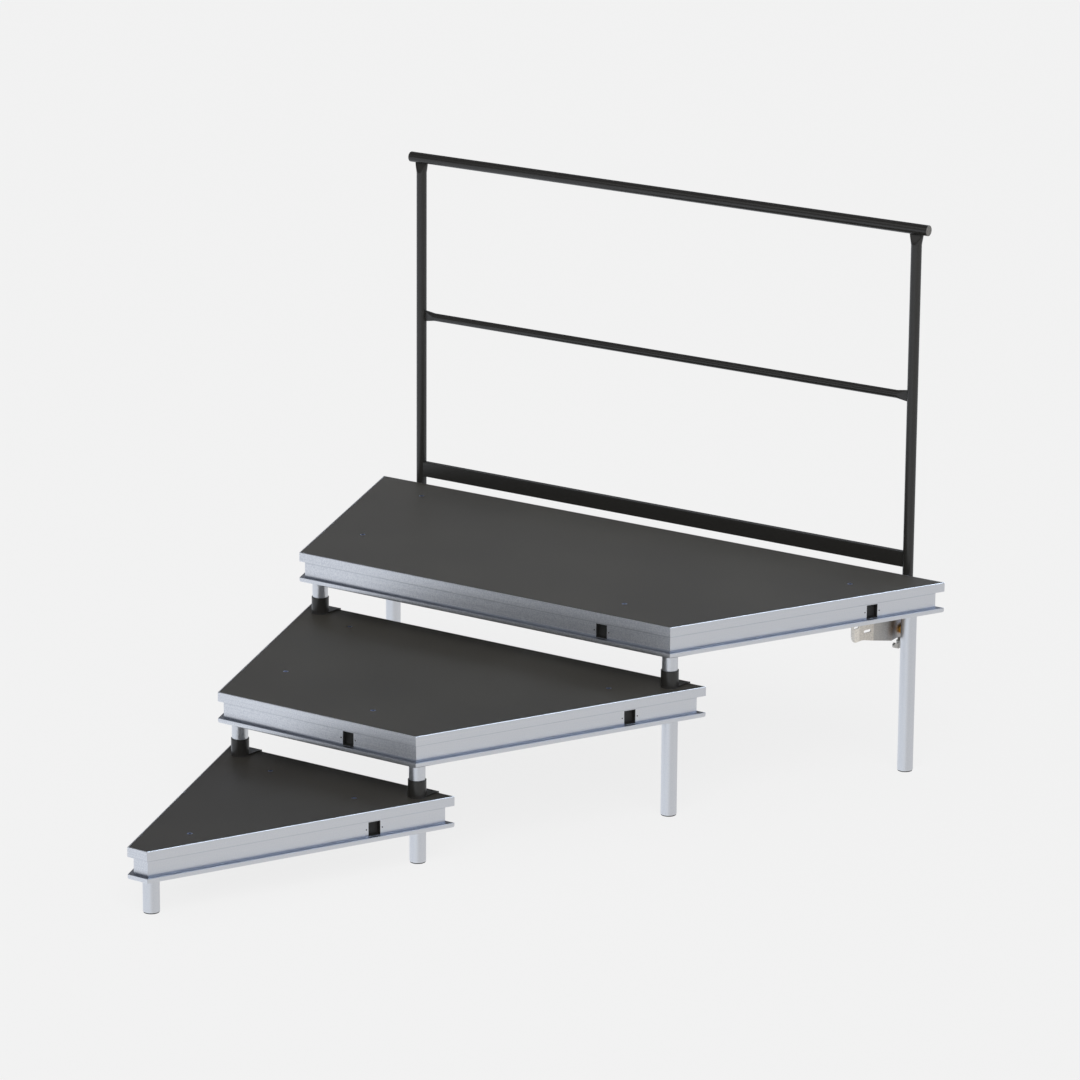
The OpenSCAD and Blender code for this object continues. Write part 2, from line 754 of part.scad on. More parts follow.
module middle_left_key_spindle() { key_spindle(MIDDLE, LEFT); }
module middle_step_adapters() { step_adapters(MIDDLE); }
module top_board() { deck_board(TOP); }
module top_front_rail() { frame_rail(TOP, FRONT); }
module top_side_rails() { side_rails(TOP); }
module top_back_rail() { frame_rail(TOP, BACK); }
module top_joists() { deck_joists(TOP, [-1, 0, 1]); }
module top_corner_blocks() { deck_corner_blocks(TOP); }
module top_legs() { deck_legs(TOP); }
module top_foot_plugs() { deck_foot_plugs(TOP); }
module top_lock_cases() { deck_lock_cases(TOP); }
module top_front_latch() { coupling_latch(TOP, FRONT); }
module top_front_key_spindle() { key_spindle(TOP, FRONT); }
module top_right_latch() { coupling_latch(TOP, RIGHT); }
module top_right_key_spindle() { key_spindle(TOP, RIGHT); }
module top_back_latch() { coupling_latch(TOP, BACK); }
module top_back_key_spindle() { key_spindle(TOP, BACK); }
module top_left_latch() { coupling_latch(TOP, LEFT); }
module top_left_key_spindle() { key_spindle(TOP, LEFT); }
module left_clamp_screw() { clamp_screw(-1); }
module right_clamp_screw() { clamp_screw(1); }

lower_board();
lower_front_rail();
lower_side_rails();
lower_back_rail();
lower_corner_blocks();
lower_legs();
lower_foot_plugs();
lower_lock_cases();
lower_right_latch();
lower_right_key_spindle();
lower_back_latch();
lower_back_key_spindle();
lower_left_latch();
lower_left_key_spindle();
lower_step_adapters();
middle_board();
middle_front_rail();
middle_side_rails();
middle_back_rail();
middle_joists();
middle_corner_blocks();
middle_legs();
middle_foot_plugs();
middle_lock_cases();
middle_front_latch();
middle_front_key_spindle();
middle_right_latch();
middle_right_key_spindle();
middle_back_latch();
middle_back_key_spindle();
middle_left_latch();
middle_left_key_spindle();
middle_step_adapters();
top_board();
top_front_rail();
top_side_rails();
top_back_rail();
top_joists();
top_corner_blocks();
top_legs();
top_foot_plugs();
top_lock_cases();
top_front_latch();
top_front_key_spindle();
top_right_latch();
top_right_key_spindle();
top_back_latch();
top_back_key_spindle();
top_left_latch();
top_left_key_spindle();
rail_brackets();
bracket_bolts();
bracket_nuts();
left_clamp_screw();
right_clamp_screw();
guard_posts();
guard_top_rail();
guard_mid_rail();
guard_toe_board();
guard_rail_caps();
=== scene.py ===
import math

import bmesh
import bpy
import numpy as np
from mathutils import Matrix, Vector, geometry


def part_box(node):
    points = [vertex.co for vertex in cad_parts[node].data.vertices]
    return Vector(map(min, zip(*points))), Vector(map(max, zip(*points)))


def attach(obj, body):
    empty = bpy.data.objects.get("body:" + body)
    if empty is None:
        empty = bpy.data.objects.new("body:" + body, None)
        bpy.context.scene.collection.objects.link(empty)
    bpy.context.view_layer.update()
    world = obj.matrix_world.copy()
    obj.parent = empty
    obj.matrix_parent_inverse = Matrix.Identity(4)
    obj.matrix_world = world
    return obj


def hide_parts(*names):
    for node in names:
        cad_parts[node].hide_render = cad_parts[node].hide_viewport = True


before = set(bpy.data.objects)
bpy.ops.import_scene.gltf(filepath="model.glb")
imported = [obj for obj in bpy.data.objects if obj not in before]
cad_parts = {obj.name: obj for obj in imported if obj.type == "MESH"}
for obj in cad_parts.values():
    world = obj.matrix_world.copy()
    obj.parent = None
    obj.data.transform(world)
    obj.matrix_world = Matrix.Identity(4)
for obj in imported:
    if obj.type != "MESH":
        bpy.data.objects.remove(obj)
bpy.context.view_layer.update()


# The studio: a pale floor, and light at a level where a colour renders about as it is written. On
# matt surfaces half of it is an even white and half comes softly from the camera's side, with one
# large lamp overhead. The camera stands where the photograph was taken from.
def hex_colour(text):
    """sRGB hex to linear RGBA, by the two parts of the sRGB curve."""
    value = np.array([int(text[i:i + 2], 16) / 255 for i in (0, 2, 4)])
    linear = np.where(value <= 0.04045, value / 12.92, ((value + 0.055) / 1.055) ** 2.4)
    return (*linear.tolist(), 1.0)


def add(tree, kind, inputs=None, **settings):
    """A node of the given kind. Settings name its properties or inputs; each entry of inputs is a
    socket to link from, or else a value."""
    node = tree.nodes.new("ShaderNode" + kind)
    for key, value in settings.items():
        if hasattr(node, key):
            setattr(node, key, value)
        else:
            node.inputs[key.replace("_", " ")].default_value = value
    for key, source in (inputs or {}).items():
        if isinstance(source, bpy.types.NodeSocket):
            tree.links.new(source, node.inputs[key])
        else:
            node.inputs[key].default_value = source
    return node


def stops(tree, source, *steps):
    """A colour ramp through (position, hex colour) steps, in rising order."""
    ramp = add(tree, "ValToRGB", {"Fac": source})
    marks = ramp.color_ramp.elements
    while len(marks) < len(steps):
        marks.new(1.0)
    for mark, (position, _) in zip(marks, steps):
        mark.position = position
    for mark, (_, colour) in zip(marks, steps):
        mark.color = hex_colour(colour)
    return ramp.outputs["Color"]


def span(tree, source, start, end):
    """0 before the start, 1 after the end, and a smooth step between them."""
    step = add(tree, "MapRange", {"Value": source}, interpolation_type="SMOOTHSTEP", From_Min=start,
               From_Max=end)
    return step.outputs["Result"]


def towards(tree, vector, direction):
    """How far a vector points the given way, from -1 to 1: their dot product."""
    return add(tree, "VectorMath", {0: vector, 1: direction}, operation="DOT_PRODUCT").outputs["Value"]


scene = bpy.context.scene
scene.view_settings.view_transform = "Standard"
PAPER = hex_colour("f1f1f1")

# Mirrored in metal and gloss, the studio has a pale ground that is cool to the left and plain to the
# right, a room above it that is dark to the left, and a softbox high up behind
RIGHTWARDS = (0.81, 0.586, 0.0)
TO_SOFTBOX = (0.31, 0.46, 0.83)
EVEN_LEVEL = 0.48
SOFTBOX_LEVEL = 6.0
world = bpy.data.worlds.new("studio")
scene.world = world
world.use_nodes = True
sky = world.node_tree
sky.nodes.clear()
outwards = add(sky, "TexCoord").outputs["Generated"]
rightness = add(sky, "MapRange", {"Value": towards(sky, outwards, RIGHTWARDS)}, From_Min=-1.0)
to_right = rightness.outputs["Result"]
ground = stops(sky, to_right, (0.04, "eef3fb"), (0.38, "f5f9ff"), (0.6, "dcdddf"))
room = stops(sky, to_right, (0.2, "3c404a"), (0.5, "75767a"), (0.85, "96a0b4"))
above = span(sky, towards(sky, outwards, (0.0, 0.0, 1.0)), -0.02, 0.06)
mirrored = add(sky, "MixRGB", {"Fac": above, "Color1": ground, "Color2": room})
in_softbox = span(sky, towards(sky, outwards, TO_SOFTBOX), 0.90, 0.97)
room_light = add(sky, "Background", {"Color": mirrored.outputs["Color"]}, Strength=1.0)
box_light = add(sky, "Background", Color=hex_colour("dcecff"), Strength=SOFTBOX_LEVEL)
gloss_light = add(sky, "MixShader", {0: in_softbox, 1: room_light.outputs["Background"],
                                    2: box_light.outputs["Background"]})
even_light = add(sky, "Background", Color=hex_colour("ffffff"), Strength=EVEN_LEVEL)
paper_light = add(sky, "Background", Color=PAPER, Strength=1.0)
ray = add(sky, "LightPath")
seen_or_lit = add(sky, "MixShader", {0: ray.outputs["Is Camera Ray"], 1: even_light.outputs["Background"],
                                    2: paper_light.outputs["Background"]})
studio_light = add(sky, "MixShader", {0: ray.outputs["Is Glossy Ray"], 1: seen_or_lit.outputs["Shader"],
                                     2: gloss_light.outputs["Shader"]})
add(sky, "OutputWorld", {"Surface": studio_light.outputs["Shader"]})

# The floor is seen as paper that glows evenly and still takes a little of the object's shadow
FLOOR_REACH = 60.0
SHADOW_SHARE = 0.07
floor_mesh = bpy.data.meshes.new("studio_floor")
floor_corners = FLOOR_REACH * np.array([(-1, -1, 0), (1, -1, 0), (1, 1, 0), (-1, 1, 0)])
floor_mesh.from_pydata(floor_corners.tolist(), [], [(0, 1, 2, 3)])
floor = bpy.data.objects.new("studio_floor", floor_mesh)
scene.collection.objects.link(floor)
paper = bpy.data.materials.new("floor_paper")
paper.use_nodes = True
paper_tree = paper.node_tree
paper_tree.nodes.clear()
paper_matt = add(paper_tree, "BsdfDiffuse", Color=PAPER).outputs["BSDF"]
paper_glow = add(paper_tree, "Emission", Color=hex_colour("f2f2f2"), Strength=1.0).outputs["Emission"]
paper_seen = add(paper_tree, "MixShader", {1: paper_glow, 2: paper_matt}, Fac=SHADOW_SHARE)
# Gloss looks past the paper, at the ground of the studio
paper_clear = add(paper_tree, "BsdfTransparent").outputs["BSDF"]
floor_ray = add(paper_tree, "LightPath")
floor_lit = add(paper_tree, "MixShader", {0: floor_ray.outputs["Is Camera Ray"], 1: paper_matt,
                                         2: paper_seen.outputs["Shader"]})
floor_mix = add(paper_tree, "MixShader", {0: floor_ray.outputs["Is Glossy Ray"],
                                         1: floor_lit.outputs["Shader"], 2: paper_clear})
add(paper_tree, "OutputMaterial", {"Surface": floor_mix.outputs["Shader"]})
floor_mesh.materials.append(paper)

lamp_data = bpy.data.lights.new("soft_lamp", "AREA")
lamp_data.shape = "DISK"
lamp_data.size = 4.0
lamp_data.energy = 30.0
lamp = bpy.data.objects.new("soft_lamp", lamp_data)
lamp.location = (-3.0, -4.0, 6.0)
lamp.rotation_euler = (Vector((0, 0, 0.4)) - lamp.location).to_track_quat("-Z", "Y").to_euler()
scene.collection.objects.link(lamp)

# The soft light from the camera's side reaches under the overhangs, and no gloss mirrors it
front_data = bpy.data.lights.new("front_light", "SUN")
front_data.energy = 2.1
front_data.angle = math.radians(50)
front_light = bpy.data.objects.new("front_light", front_data)
front_light.rotation_euler = Vector((-0.42, 0.57, -0.70)).to_track_quat("-Z", "Y").to_euler()
front_light.visible_glossy = False
scene.collection.objects.link(front_light)

# The camera's lens and place come from the corners of the decks in the photograph
PHOTO_SIDE = 1080
FOCAL_PIXELS = 4978.73
SENSOR = 36.0
CAMERA_PLACE = (8.65847, -11.31375, 4.65350)
YAW, PITCH_DOWN, ROLL = np.radians((35.94054, 15.04572, 0.38381))
camera_data = bpy.data.cameras.new("photo_camera")
camera_data.sensor_width = SENSOR
camera_data.lens = SENSOR * FOCAL_PIXELS / PHOTO_SIDE
camera_data.clip_end = 200.0
camera = bpy.data.objects.new("photo_camera", camera_data)
forward = np.array([-math.sin(YAW) * math.cos(PITCH_DOWN), math.cos(YAW) * math.cos(PITCH_DOWN),
                    -math.sin(PITCH_DOWN)])
level = np.array([math.cos(YAW), math.sin(YAW), 0.0])
upright = np.cross(level, forward)
stand = np.eye(4)
stand[:3, 0] = math.cos(ROLL) * level + math.sin(ROLL) * upright
stand[:3, 1] = math.cos(ROLL) * upright - math.sin(ROLL) * level
stand[:3, 2] = -forward
stand[:3, 3] = CAMERA_PLACE
camera.matrix_world = Matrix(stand.tolist())
scene.collection.objects.link(camera)
scene.camera = camera


# Frame rails: mill-finish aluminium extrusions with a coupling groove along the outer face, sawn to
# a mitre at the deck's corners. The web is cut out where a lock's pocket comes through.
MM = 0.001
UP = np.array([0.0, 0.0, 1.0])

# Deck plan in millimetres, as in the part's source
DECKS = ("lower", "middle", "top")
HALF_WEDGE = 22.5
WEDGE = math.radians(HALF_WEDGE)
NOSE_WIDTH = 72.4
DEPTH = 920.0
PITCH = 800.0
STEP = 200.0
BACK_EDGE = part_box("top_back_rail")[1].y / MM
BACK_WIDTH = NOSE_WIDTH + 2 * (DEPTH + 2 * PITCH) * math.tan(WEDGE)
SIDES = ("front", "right", "back", "left")
HEADING = {"front": 0.0, "right": 90.0 - HALF_WEDGE, "back": 180.0, "left": HALF_WEDGE - 90.0}
LOCKED = {"lower": ("right", "back", "left"), "middle": SIDES, "top": SIDES}
LOCK_FROM_CORNER = 258.0
NOSE_LOCK_FROM_CORNER = 160.0


def finish(name, **settings):
    """A new material whose Principled node has these settings, and the parts that patterns need."""
    material = bpy.data.materials.new(name)
    material.use_nodes = True
    tree = material.node_tree
    tree.nodes.clear()
    surface = add(tree, "BsdfPrincipled", **settings)
    add(tree, "OutputMaterial", {"Surface": surface.outputs["BSDF"]})
    return material, tree, surface


def per(size_mm):
    """The scale at which one cell of a pattern is so many millimetres across."""
    return 1.0 / (size_mm * MM)


def stretched(tree, turn=0.0, scale=(1.0, 1.0, 1.0)):
    """Object coordinates turned about the vertical by `turn` degrees, then scaled along each axis."""
    where = add(tree, "TexCoord").outputs["Object"]
    rotation = (0.0, 0.0, math.radians(turn))
    turned_back = add(tree, "Mapping", {"Vector": where}, vector_type="TEXTURE", Rotation=rotation)
    return add(tree, "Mapping", {"Vector": turned_back.outputs["Vector"]}, Scale=scale).outputs["Vector"]


def tinted(tree, surface, source, dark, light):
    """Base Color runs from the dark to the light colour over most of a noise texture's values."""
    tree.links.new(stops(tree, source, (0.35, dark), (0.65, light)), surface.inputs["Base Color"])


def rough_between(tree, surface, source, low, high):
    """Roughness follows the source value from low to high."""
    spread = add(tree, "MapRange", {"Value": source}, To_Min=low, To_Max=high)
    tree.links.new(spread.outputs["Result"], surface.inputs["Roughness"])


def bumped(tree, surface, source, height_mm, strength):
    """Bump of a height in millimetres from the source value."""
    bump = add(tree, "Bump", {"Height": source}, Distance=height_mm * MM, Strength=strength)
    tree.links.new(bump.outputs["Normal"], surface.inputs["Normal"])


def painted_shade_line(tree, surface, under_tread, reach, colour):
    """Painted shade along a line under each tread: the colour fades with the distance from that depth, which
    is the height modulo one step less the depth, and is gone `reach` mm away."""
    height = add(tree, "SeparateXYZ", {"Vector": add(tree, "TexCoord").outputs["Object"]}).outputs["Z"]
    in_step = add(tree, "Math", {0: height, 1: STEP * MM}, operation="MODULO").outputs["Value"]
    from_line = add(tree, "Math", {0: in_step, 1: (STEP - under_tread) * MM}, operation="SUBTRACT")
    distance = add(tree, "Math", {0: from_line.outputs["Value"]}, operation="ABSOLUTE").outputs["Value"]
    unshaded = span(tree, distance, 0.5 * reach * MM, reach * MM)
    bare = surface.inputs["Base Color"].links[0].from_socket
    toned = add(tree, "MixRGB", {"Fac": unshaded, "Color2": bare}, Color1=hex_colour(colour))
    tree.links.new(toned.outputs["Color"], surface.inputs["Base Color"])


def mill_extrusion(name, turn=0.0, upright=False, dark="dadce0", light="e1e2e4"):
    """Mill-finish aluminium straight from the die: a soft grey mirror with faint lines along its length
    and a fine grain. Lines 4 mm apart (25 mm on a tube) and a grain of 3.6 mm are coarser than real, so
    that they show. Painted shade lies under the nose, and in the corner of the groove's floor and the web."""
    material, tree, surface = finish(name, Metallic=1.0)
    along = per(667.0)
    scale = (per(25.0), per(25.0), along) if upright else (along, per(4.0), per(4.0))
    lines = add(tree, "TexNoise", {"Vector": stretched(tree, turn, scale)}, Scale=1.0, Detail=3.0)
    grain = add(tree, "TexNoise", {"Vector": stretched(tree, turn)}, Scale=per(3.6), Detail=1.0)
    mixed = add(tree, "MixRGB", {"Color1": lines.outputs["Fac"], "Color2": grain.outputs["Fac"]}, Fac=0.65)
    both = mixed.outputs["Color"]
    tinted(tree, surface, both, dark, light)
    # Painted shade: a darker line on the web under the nose, and a darker band in the groove's corner
    if not upright:
        painted_shade_line(tree, surface, 34.0, 2.6, "cacdd1")
        painted_shade_line(tree, surface, 78.5, 4.0, "c6cad2")
    rough_between(tree, surface, both, 0.31, 0.43)
    bumped(tree, surface, both, 0.26, 0.8)
    return material


def soften(outline, reach, steps=4):
    """Rounds the corners of a closed outline: a quadratic Bezier runs from a point on the side before
    each corner to a point on the side after it, both `reach` away but never past 0.45 of that side."""
    corner = np.asarray(outline, float)
    reach = np.broadcast_to(np.asarray(reach, float), len(corner))[:, None]
    before, after = np.roll(corner, 1, 0) - corner, np.roll(corner, -1, 0) - corner
    long_before = np.linalg.norm(before, axis=1, keepdims=True)
    long_after = np.linalg.norm(after, axis=1, keepdims=True)
    start = corner + before / long_before * np.minimum(reach, 0.45 * long_before)
    end = corner + after / long_after * np.minimum(reach, 0.45 * long_after)
    t = np.linspace(0, 1, steps)[None, :, None]
    curve = (1 - t) ** 2 * start[:, None] + 2 * t * (1 - t) * corner[:, None] + t ** 2 * end[:, None]
    return curve.reshape(-1, corner.shape[1])


def grid_faces(rows, columns, close_rows=False):
    """Quads between neighbouring rows of a grid whose columns run round in a closed loop."""
    row = np.arange(rows if close_rows else rows - 1)[:, None]
    column = np.arange(columns)[None, :]
    next_row, next_column = (row + 1) % rows, (column + 1) % columns
    quads = np.stack([row * columns + column, row * columns + next_column,
                      next_row * columns + next_column, next_row * columns + column], -1)
    return quads.reshape(-1, 4)


def capped(rows, columns):
    """The grid's quads, with its first and last rows closed by one face each."""
    last = (rows - 1) * columns
    ends = [list(range(columns - 1, -1, -1)), list(range(last, last + columns))]
    return grid_faces(rows, columns).tolist() + ends


def piece(name, parts, material, body, replaces=(), sharp=32.0):
    """One object from (points in mm, faces) parts, placed in its mesh, riding on a CAD body. Points
    within 0.002 mm are merged, and edges sharper than `sharp` degrees stay sharp."""
    counts = np.cumsum([0] + [len(points) for points, _ in parts])
    points = np.concatenate([points for points, _ in parts]) * MM
    faces = [[int(i) + int(first) for i in face] for first, (_, part) in zip(counts, parts) for face in part]
    mesh = bpy.data.meshes.new(name)
    mesh.from_pydata(points.tolist(), [], faces)
    shell = bmesh.new()
    shell.from_mesh(mesh)
    bmesh.ops.remove_doubles(shell, verts=shell.verts, dist=0.002 * MM)
    bmesh.ops.dissolve_degenerate(shell, edges=shell.edges, dist=0.001 * MM)
    bmesh.ops.recalc_face_normals(shell, faces=shell.faces)
    shell.to_mesh(mesh)
    shell.free()
    mesh.shade_smooth()
    mesh.set_sharp_from_angle(angle=math.radians(sharp))
    mesh.materials.append(material)
    made = bpy.data.objects.new(name, mesh)
    scene.collection.objects.link(made)
    # Flat faces keep their own normals right up to the rounded edges
    even = made.modifiers.new("even_flats", "WEIGHTED_NORMAL")
    even.keep_sharp = True
    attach(made, body)
    if replaces:
        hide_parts(*replaces)
    return made


def half_width(y):
    """Half the wedge's width at a y: its half width at the back, less the slant's share."""
    return BACK_WIDTH / 2 + (y - BACK_EDGE) * math.tan(WEDGE)


def deck_back(deck):
    """The y of a deck's back edge: one pitch further forward for each deck below the top one."""
    return BACK_EDGE - (len(DECKS) - 1 - DECKS.index(deck)) * PITCH


def deck_top(deck):
    """The height of a deck's tread: one step for each deck up to it."""
    return STEP * (DECKS.index(deck) + 1)


def deck_side(deck, side):
    """Start corner, unit vector along the side, unit vector inwards, and the side's length."""
    back = deck_back(deck)
    front = back - DEPTH
    start = {"front": (-half_width(front), front), "right": (half_width(front), front),
             "back": (half_width(back), back), "left": (-half_width(back), back)}[side]
    turn = math.radians(HEADING[side])
    length = {"front": 2 * half_width(front), "back": 2 * half_width(back)}.get(side, DEPTH / math.cos(WEDGE))
    return (np.array([*start, deck_top(deck)]), np.array([math.cos(turn), math.sin(turn), 0.0]),
            np.array([-math.sin(turn), math.cos(turn), 0.0]), length)


def lock_along(deck, side):
    """How far along a side its lock sits: the side's length less the distance from its far corner."""
    nose_left = (deck, side) == ("lower", "left")
    return deck_side(deck, side)[3] - (NOSE_LOCK_FROM_CORNER if nose_left else LOCK_FROM_CORNER)


# The section as (inwards, height) points from the tread's outer edge: rim, seat of the board, inner
# wall, lower lip, groove and web. The pocket's edges are on the web and the inner wall.
FRAME_TALL = 95.0
RIM = 3.5
BOARD_SEAT = 12.0
WEB, INNER = 15.0, 28.0
GROOVE_TOP, GROOVE_LOW = 29.0, 80.5
POCKET_TOP, POCKET_LOW = -37.4, -80.1
POCKET_HALF = 19.6
RAIL_SECTION = [(0, 0), (RIM, 0), (RIM, -BOARD_SEAT), (INNER, -BOARD_SEAT), (INNER, POCKET_TOP),
                (INNER, POCKET_LOW), (INNER, -FRAME_TALL), (0, -FRAME_TALL), (0, -GROOVE_LOW),
                (WEB, -GROOVE_LOW), (WEB, POCKET_LOW), (WEB, POCKET_TOP), (WEB, -GROOVE_TOP),
                (0, -GROOVE_TOP)]
RAIL_ROUNDING = [1.5, 0.5, 0.2, 0.6, 0.0, 0.0, 0.8, 6.0, 0.35, 0.15, 0.0, 0.0, 0.6, 1.0]
ROUND_STEPS = 4
POCKET_CORNERS = [(RAIL_SECTION.index(corner) + 1) * ROUND_STEPS - 1
                  for corner in ((WEB, POCKET_LOW), (INNER, POCKET_TOP))]
# Half the angle of the deck's front and back corners, and the saw's gap in each mitre
WIDE_MITRE, NARROW_MITRE = math.radians((90 + HALF_WEDGE) / 2), math.radians((90 - HALF_WEDGE) / 2)
MITRES = {"front": (WIDE_MITRE, WIDE_MITRE), "right": (WIDE_MITRE, NARROW_MITRE),
          "back": (NARROW_MITRE, NARROW_MITRE), "left": (NARROW_MITRE, WIDE_MITRE)}
SAW_GAP = 0.12


def rail_part(deck, side):
    """The section carried along the side, in rows at the mitres and at the pocket's two ends. A row's
    points at a mitre lie as far from the corner as their depth inwards over the mitre's tangent."""
    start, along, inwards, length = deck_side(deck, side)
    section = soften(RAIL_SECTION, RAIL_ROUNDING, ROUND_STEPS)
    columns = len(section)
    first, last = (section[:, 0] / math.tan(mitre) + SAW_GAP for mitre in MITRES[side])
    rows = [first, length - last]
    if side in LOCKED[deck]:
        middle = lock_along(deck, side)
        rows[1:1] = [np.full(columns, middle - POCKET_HALF), np.full(columns, middle + POCKET_HALF)]
    points = start + np.array(rows)[..., None] * along + section[:, :1] * inwards + section[:, 1:] * UP
    faces = capped(len(rows), columns)
    if side in LOCKED[deck]:
        # The web and inner wall quads between the pocket's ends give way to a passage through the rail
        low, top = (columns + corner for corner in POCKET_CORNERS)
        mouth = [low, low + 1, low + 1 + columns, low + columns]
        back = [top + 1, top, top + columns, top + 1 + columns]
        faces = [face for face in faces if set(face) not in (set(mouth), set(back))]
        faces += [[mouth[i], mouth[(i + 1) % 4], back[(i + 1) % 4], back[i]] for i in range(4)]
    return points.reshape(-1, 3), faces


ACROSS = mill_extrusion("mill_extrusion_across", dark="d1d3d8", light="eaebed")
ALONG_RIGHT = mill_extrusion("mill_extrusion_right", HEADING["right"])
ALONG_LEFT = mill_extrusion("mill_extrusion_left", HEADING["left"])
for deck in DECKS:
    for side in ("front", "back"):
        piece(f"{deck}_{side}_rail_extrusion", [rail_part(deck, side)], ACROSS, f"{deck}_deck",
              [f"{deck}_{side}_rail"])
    side_rails = [rail_part(deck, side) for side in ("right", "left")]
    both_sides = piece(f"{deck}_side_rail_extrusions", side_rails, ALONG_RIGHT, f"{deck}_deck",
                       [f"{deck}_side_rails"])
    both_sides.data.materials.append(ALONG_LEFT)
    centre = np.array([polygon.center.x for polygon in both_sides.data.polygons])
    both_sides.data.polygons.foreach_set("material_index", (centre < 0).astype(np.int32))


# Boards: phenolic-coated plywood set flush in the rim, dark grey with a fine pressed slip-proof
# mesh. The coating has a low sheen and clouds a little in tone; the lower boards are painted a bit darker, as
# painted shade.
def coated_board(name, dark, light):
    """Phenolic film with clouds a third of a metre wide, specks and a pressed mesh. Specks of 2 mm and a
    mesh of 3.6 mm are about twice as coarse as real, so that they show."""
    material, tree, surface = finish(name, Specular_IOR_Level=0.45)
    clouds = add(tree, "TexNoise", {"Vector": stretched(tree)}, Scale=per(333.0), Detail=4.0).outputs["Fac"]
    specks = add(tree, "TexNoise", {"Vector": stretched(tree)}, Scale=per(2.0), Detail=1.0).outputs["Fac"]
    tone = add(tree, "MixRGB", {"Color1": clouds, "Color2": specks}, Fac=0.45)
    tinted(tree, surface, tone.outputs["Color"], dark, light)
    mesh_print = add(tree, "TexVoronoi", {"Vector": stretched(tree)}, Scale=per(3.6),
                     feature="DISTANCE_TO_EDGE")
    rough_between(tree, surface, clouds, 0.42, 0.50)
    bumped(tree, surface, mesh_print.outputs["Distance"], 0.1, 0.3)
    return material


def dress(nodes, material):
    """CAD nodes keep their shape and take the material."""
    for node in nodes:
        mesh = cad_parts[node].data
        mesh.materials.clear()
        mesh.materials.append(material)


# Painted shade: the same board is painted darker on each lower deck
DECK_SHADED_BOARD_TONES = {"lower": ("312f2c", "393733"), "middle": ("373531", "3f3d38"), "top": ("3d3b37", "45433e")}
for deck, tones in DECK_SHADED_BOARD_TONES.items():
    dress([f"{deck}_board"], coated_board(f"phenolic_board_{deck}", *tones))


# Joists and corner blocks: the joists are extruded aluminium box bars under the board, and the
# blocks are aluminium castings in the frame's corners, each with a bored socket that holds a leg.
def cast_aluminium():
    """Sand-cast aluminium: a dull grey with a skin of 3.3 mm pits, coarser than real so that they show."""
    material, tree, surface = finish("cast_aluminium", Metallic=1.0)
    sand = add(tree, "TexNoise", {"Vector": stretched(tree)}, Scale=per(3.3), Detail=3.0).outputs["Fac"]
    tinted(tree, surface, sand, "9ea0a4", "b4b6ba")
    rough_between(tree, surface, sand, 0.5, 0.62)
    bumped(tree, surface, sand, 0.3, 0.5)
    return material


dress([f"{deck}_corner_blocks" for deck in DECKS], cast_aluminium())
dress(["middle_joists", "top_joists"], mill_extrusion("mill_extrusion_joists", 90.0))


# Legs: drawn aluminium tube, plugged into the corner blocks from below, with a moulded plug in the
# foot. The tube's end is rolled in a little round the plug.
LEG_RADIUS = 24.15
LEG_WALL = 3.2
FOOT_ROUND = 3.2
PLUG_HEIGHT = 3.2
PLUG_DEEP = 24.0
LEG_FROM_SIDE = 56.0
LEG_FROM_BACK = 62.0
LEG_FROM_FRONT = {"lower": 58.0, "middle": 56.0, "top": 56.0}
LEG_UNDER_BOARD = 0.2
PLATE = 4.0
# A turned outline that closes on its axis stops just short of it
AXIS = 0.01


def turned(profile, segments=64, centre=(0.0, 0.0, 0.0)):
    """A closed (radius, height) outline turned about a vertical axis: each of its points goes round a
    circle of its radius."""
    profile = np.asarray(profile, float)
    angle = np.linspace(0, 2 * math.pi, segments, endpoint=False)
    points = np.stack([profile[:, 0] * np.cos(angle)[:, None], profile[:, 0] * np.sin(angle)[:, None],
                       np.broadcast_to(profile[:, 1], (segments, len(profile)))], -1)
    return points.reshape(-1, 3) + np.array(centre), grid_faces(segments, len(profile), True).tolist()


def leg_places(deck):
    """(x, y, height of the foot) of each leg of a deck: the back pair, then the front leg or pair."""
    back = deck_back(deck) - LEG_FROM_BACK
    front = deck_back(deck) - DEPTH + LEG_FROM_FRONT[deck]
    inset = LEG_FROM_SIDE / math.cos(WEDGE)
    pair = [(s * (half_width(back) - inset), back, 0.0) for s in (-1, 1)]
    if deck == "lower":
        return pair + [(0.0, front, 0.0)]
    foot = deck_top(deck) - STEP + PLATE
    return pair + [(s * (half_width(front) - inset), front, foot) for s in (-1, 1)]


def leg_part(x, y, foot, top):
    """A tube from above its foot plug up to `top`: its wall's outline turned about the leg's axis."""
    inner, tall = LEG_RADIUS - LEG_WALL, top - foot
    outline = soften([(inner, PLUG_HEIGHT), (LEG_RADIUS, PLUG_HEIGHT), (LEG_RADIUS, tall), (inner, tall)],
                     [0.3, FOOT_ROUND, 0.3, 0.3], 6)
    return turned(outline, centre=(x, y, foot))


def moulded_black(name, dark, light, rough_low, rough_high, grain_mm=1.5):
    """Black plastic or coating with a fine grain in tone, gloss and height. A grain of 1.5 mm or more is
    coarser than real, so that it shows."""
    material, tree, surface = finish(name)
    grain = add(tree, "TexNoise", {"Vector": stretched(tree)}, Scale=per(grain_mm), Detail=2.0).outputs["Fac"]
    tinted(tree, surface, grain, dark, light)
    rough_between(tree, surface, grain, rough_low, rough_high)
    bumped(tree, surface, grain, 0.05, 0.4)
    return material


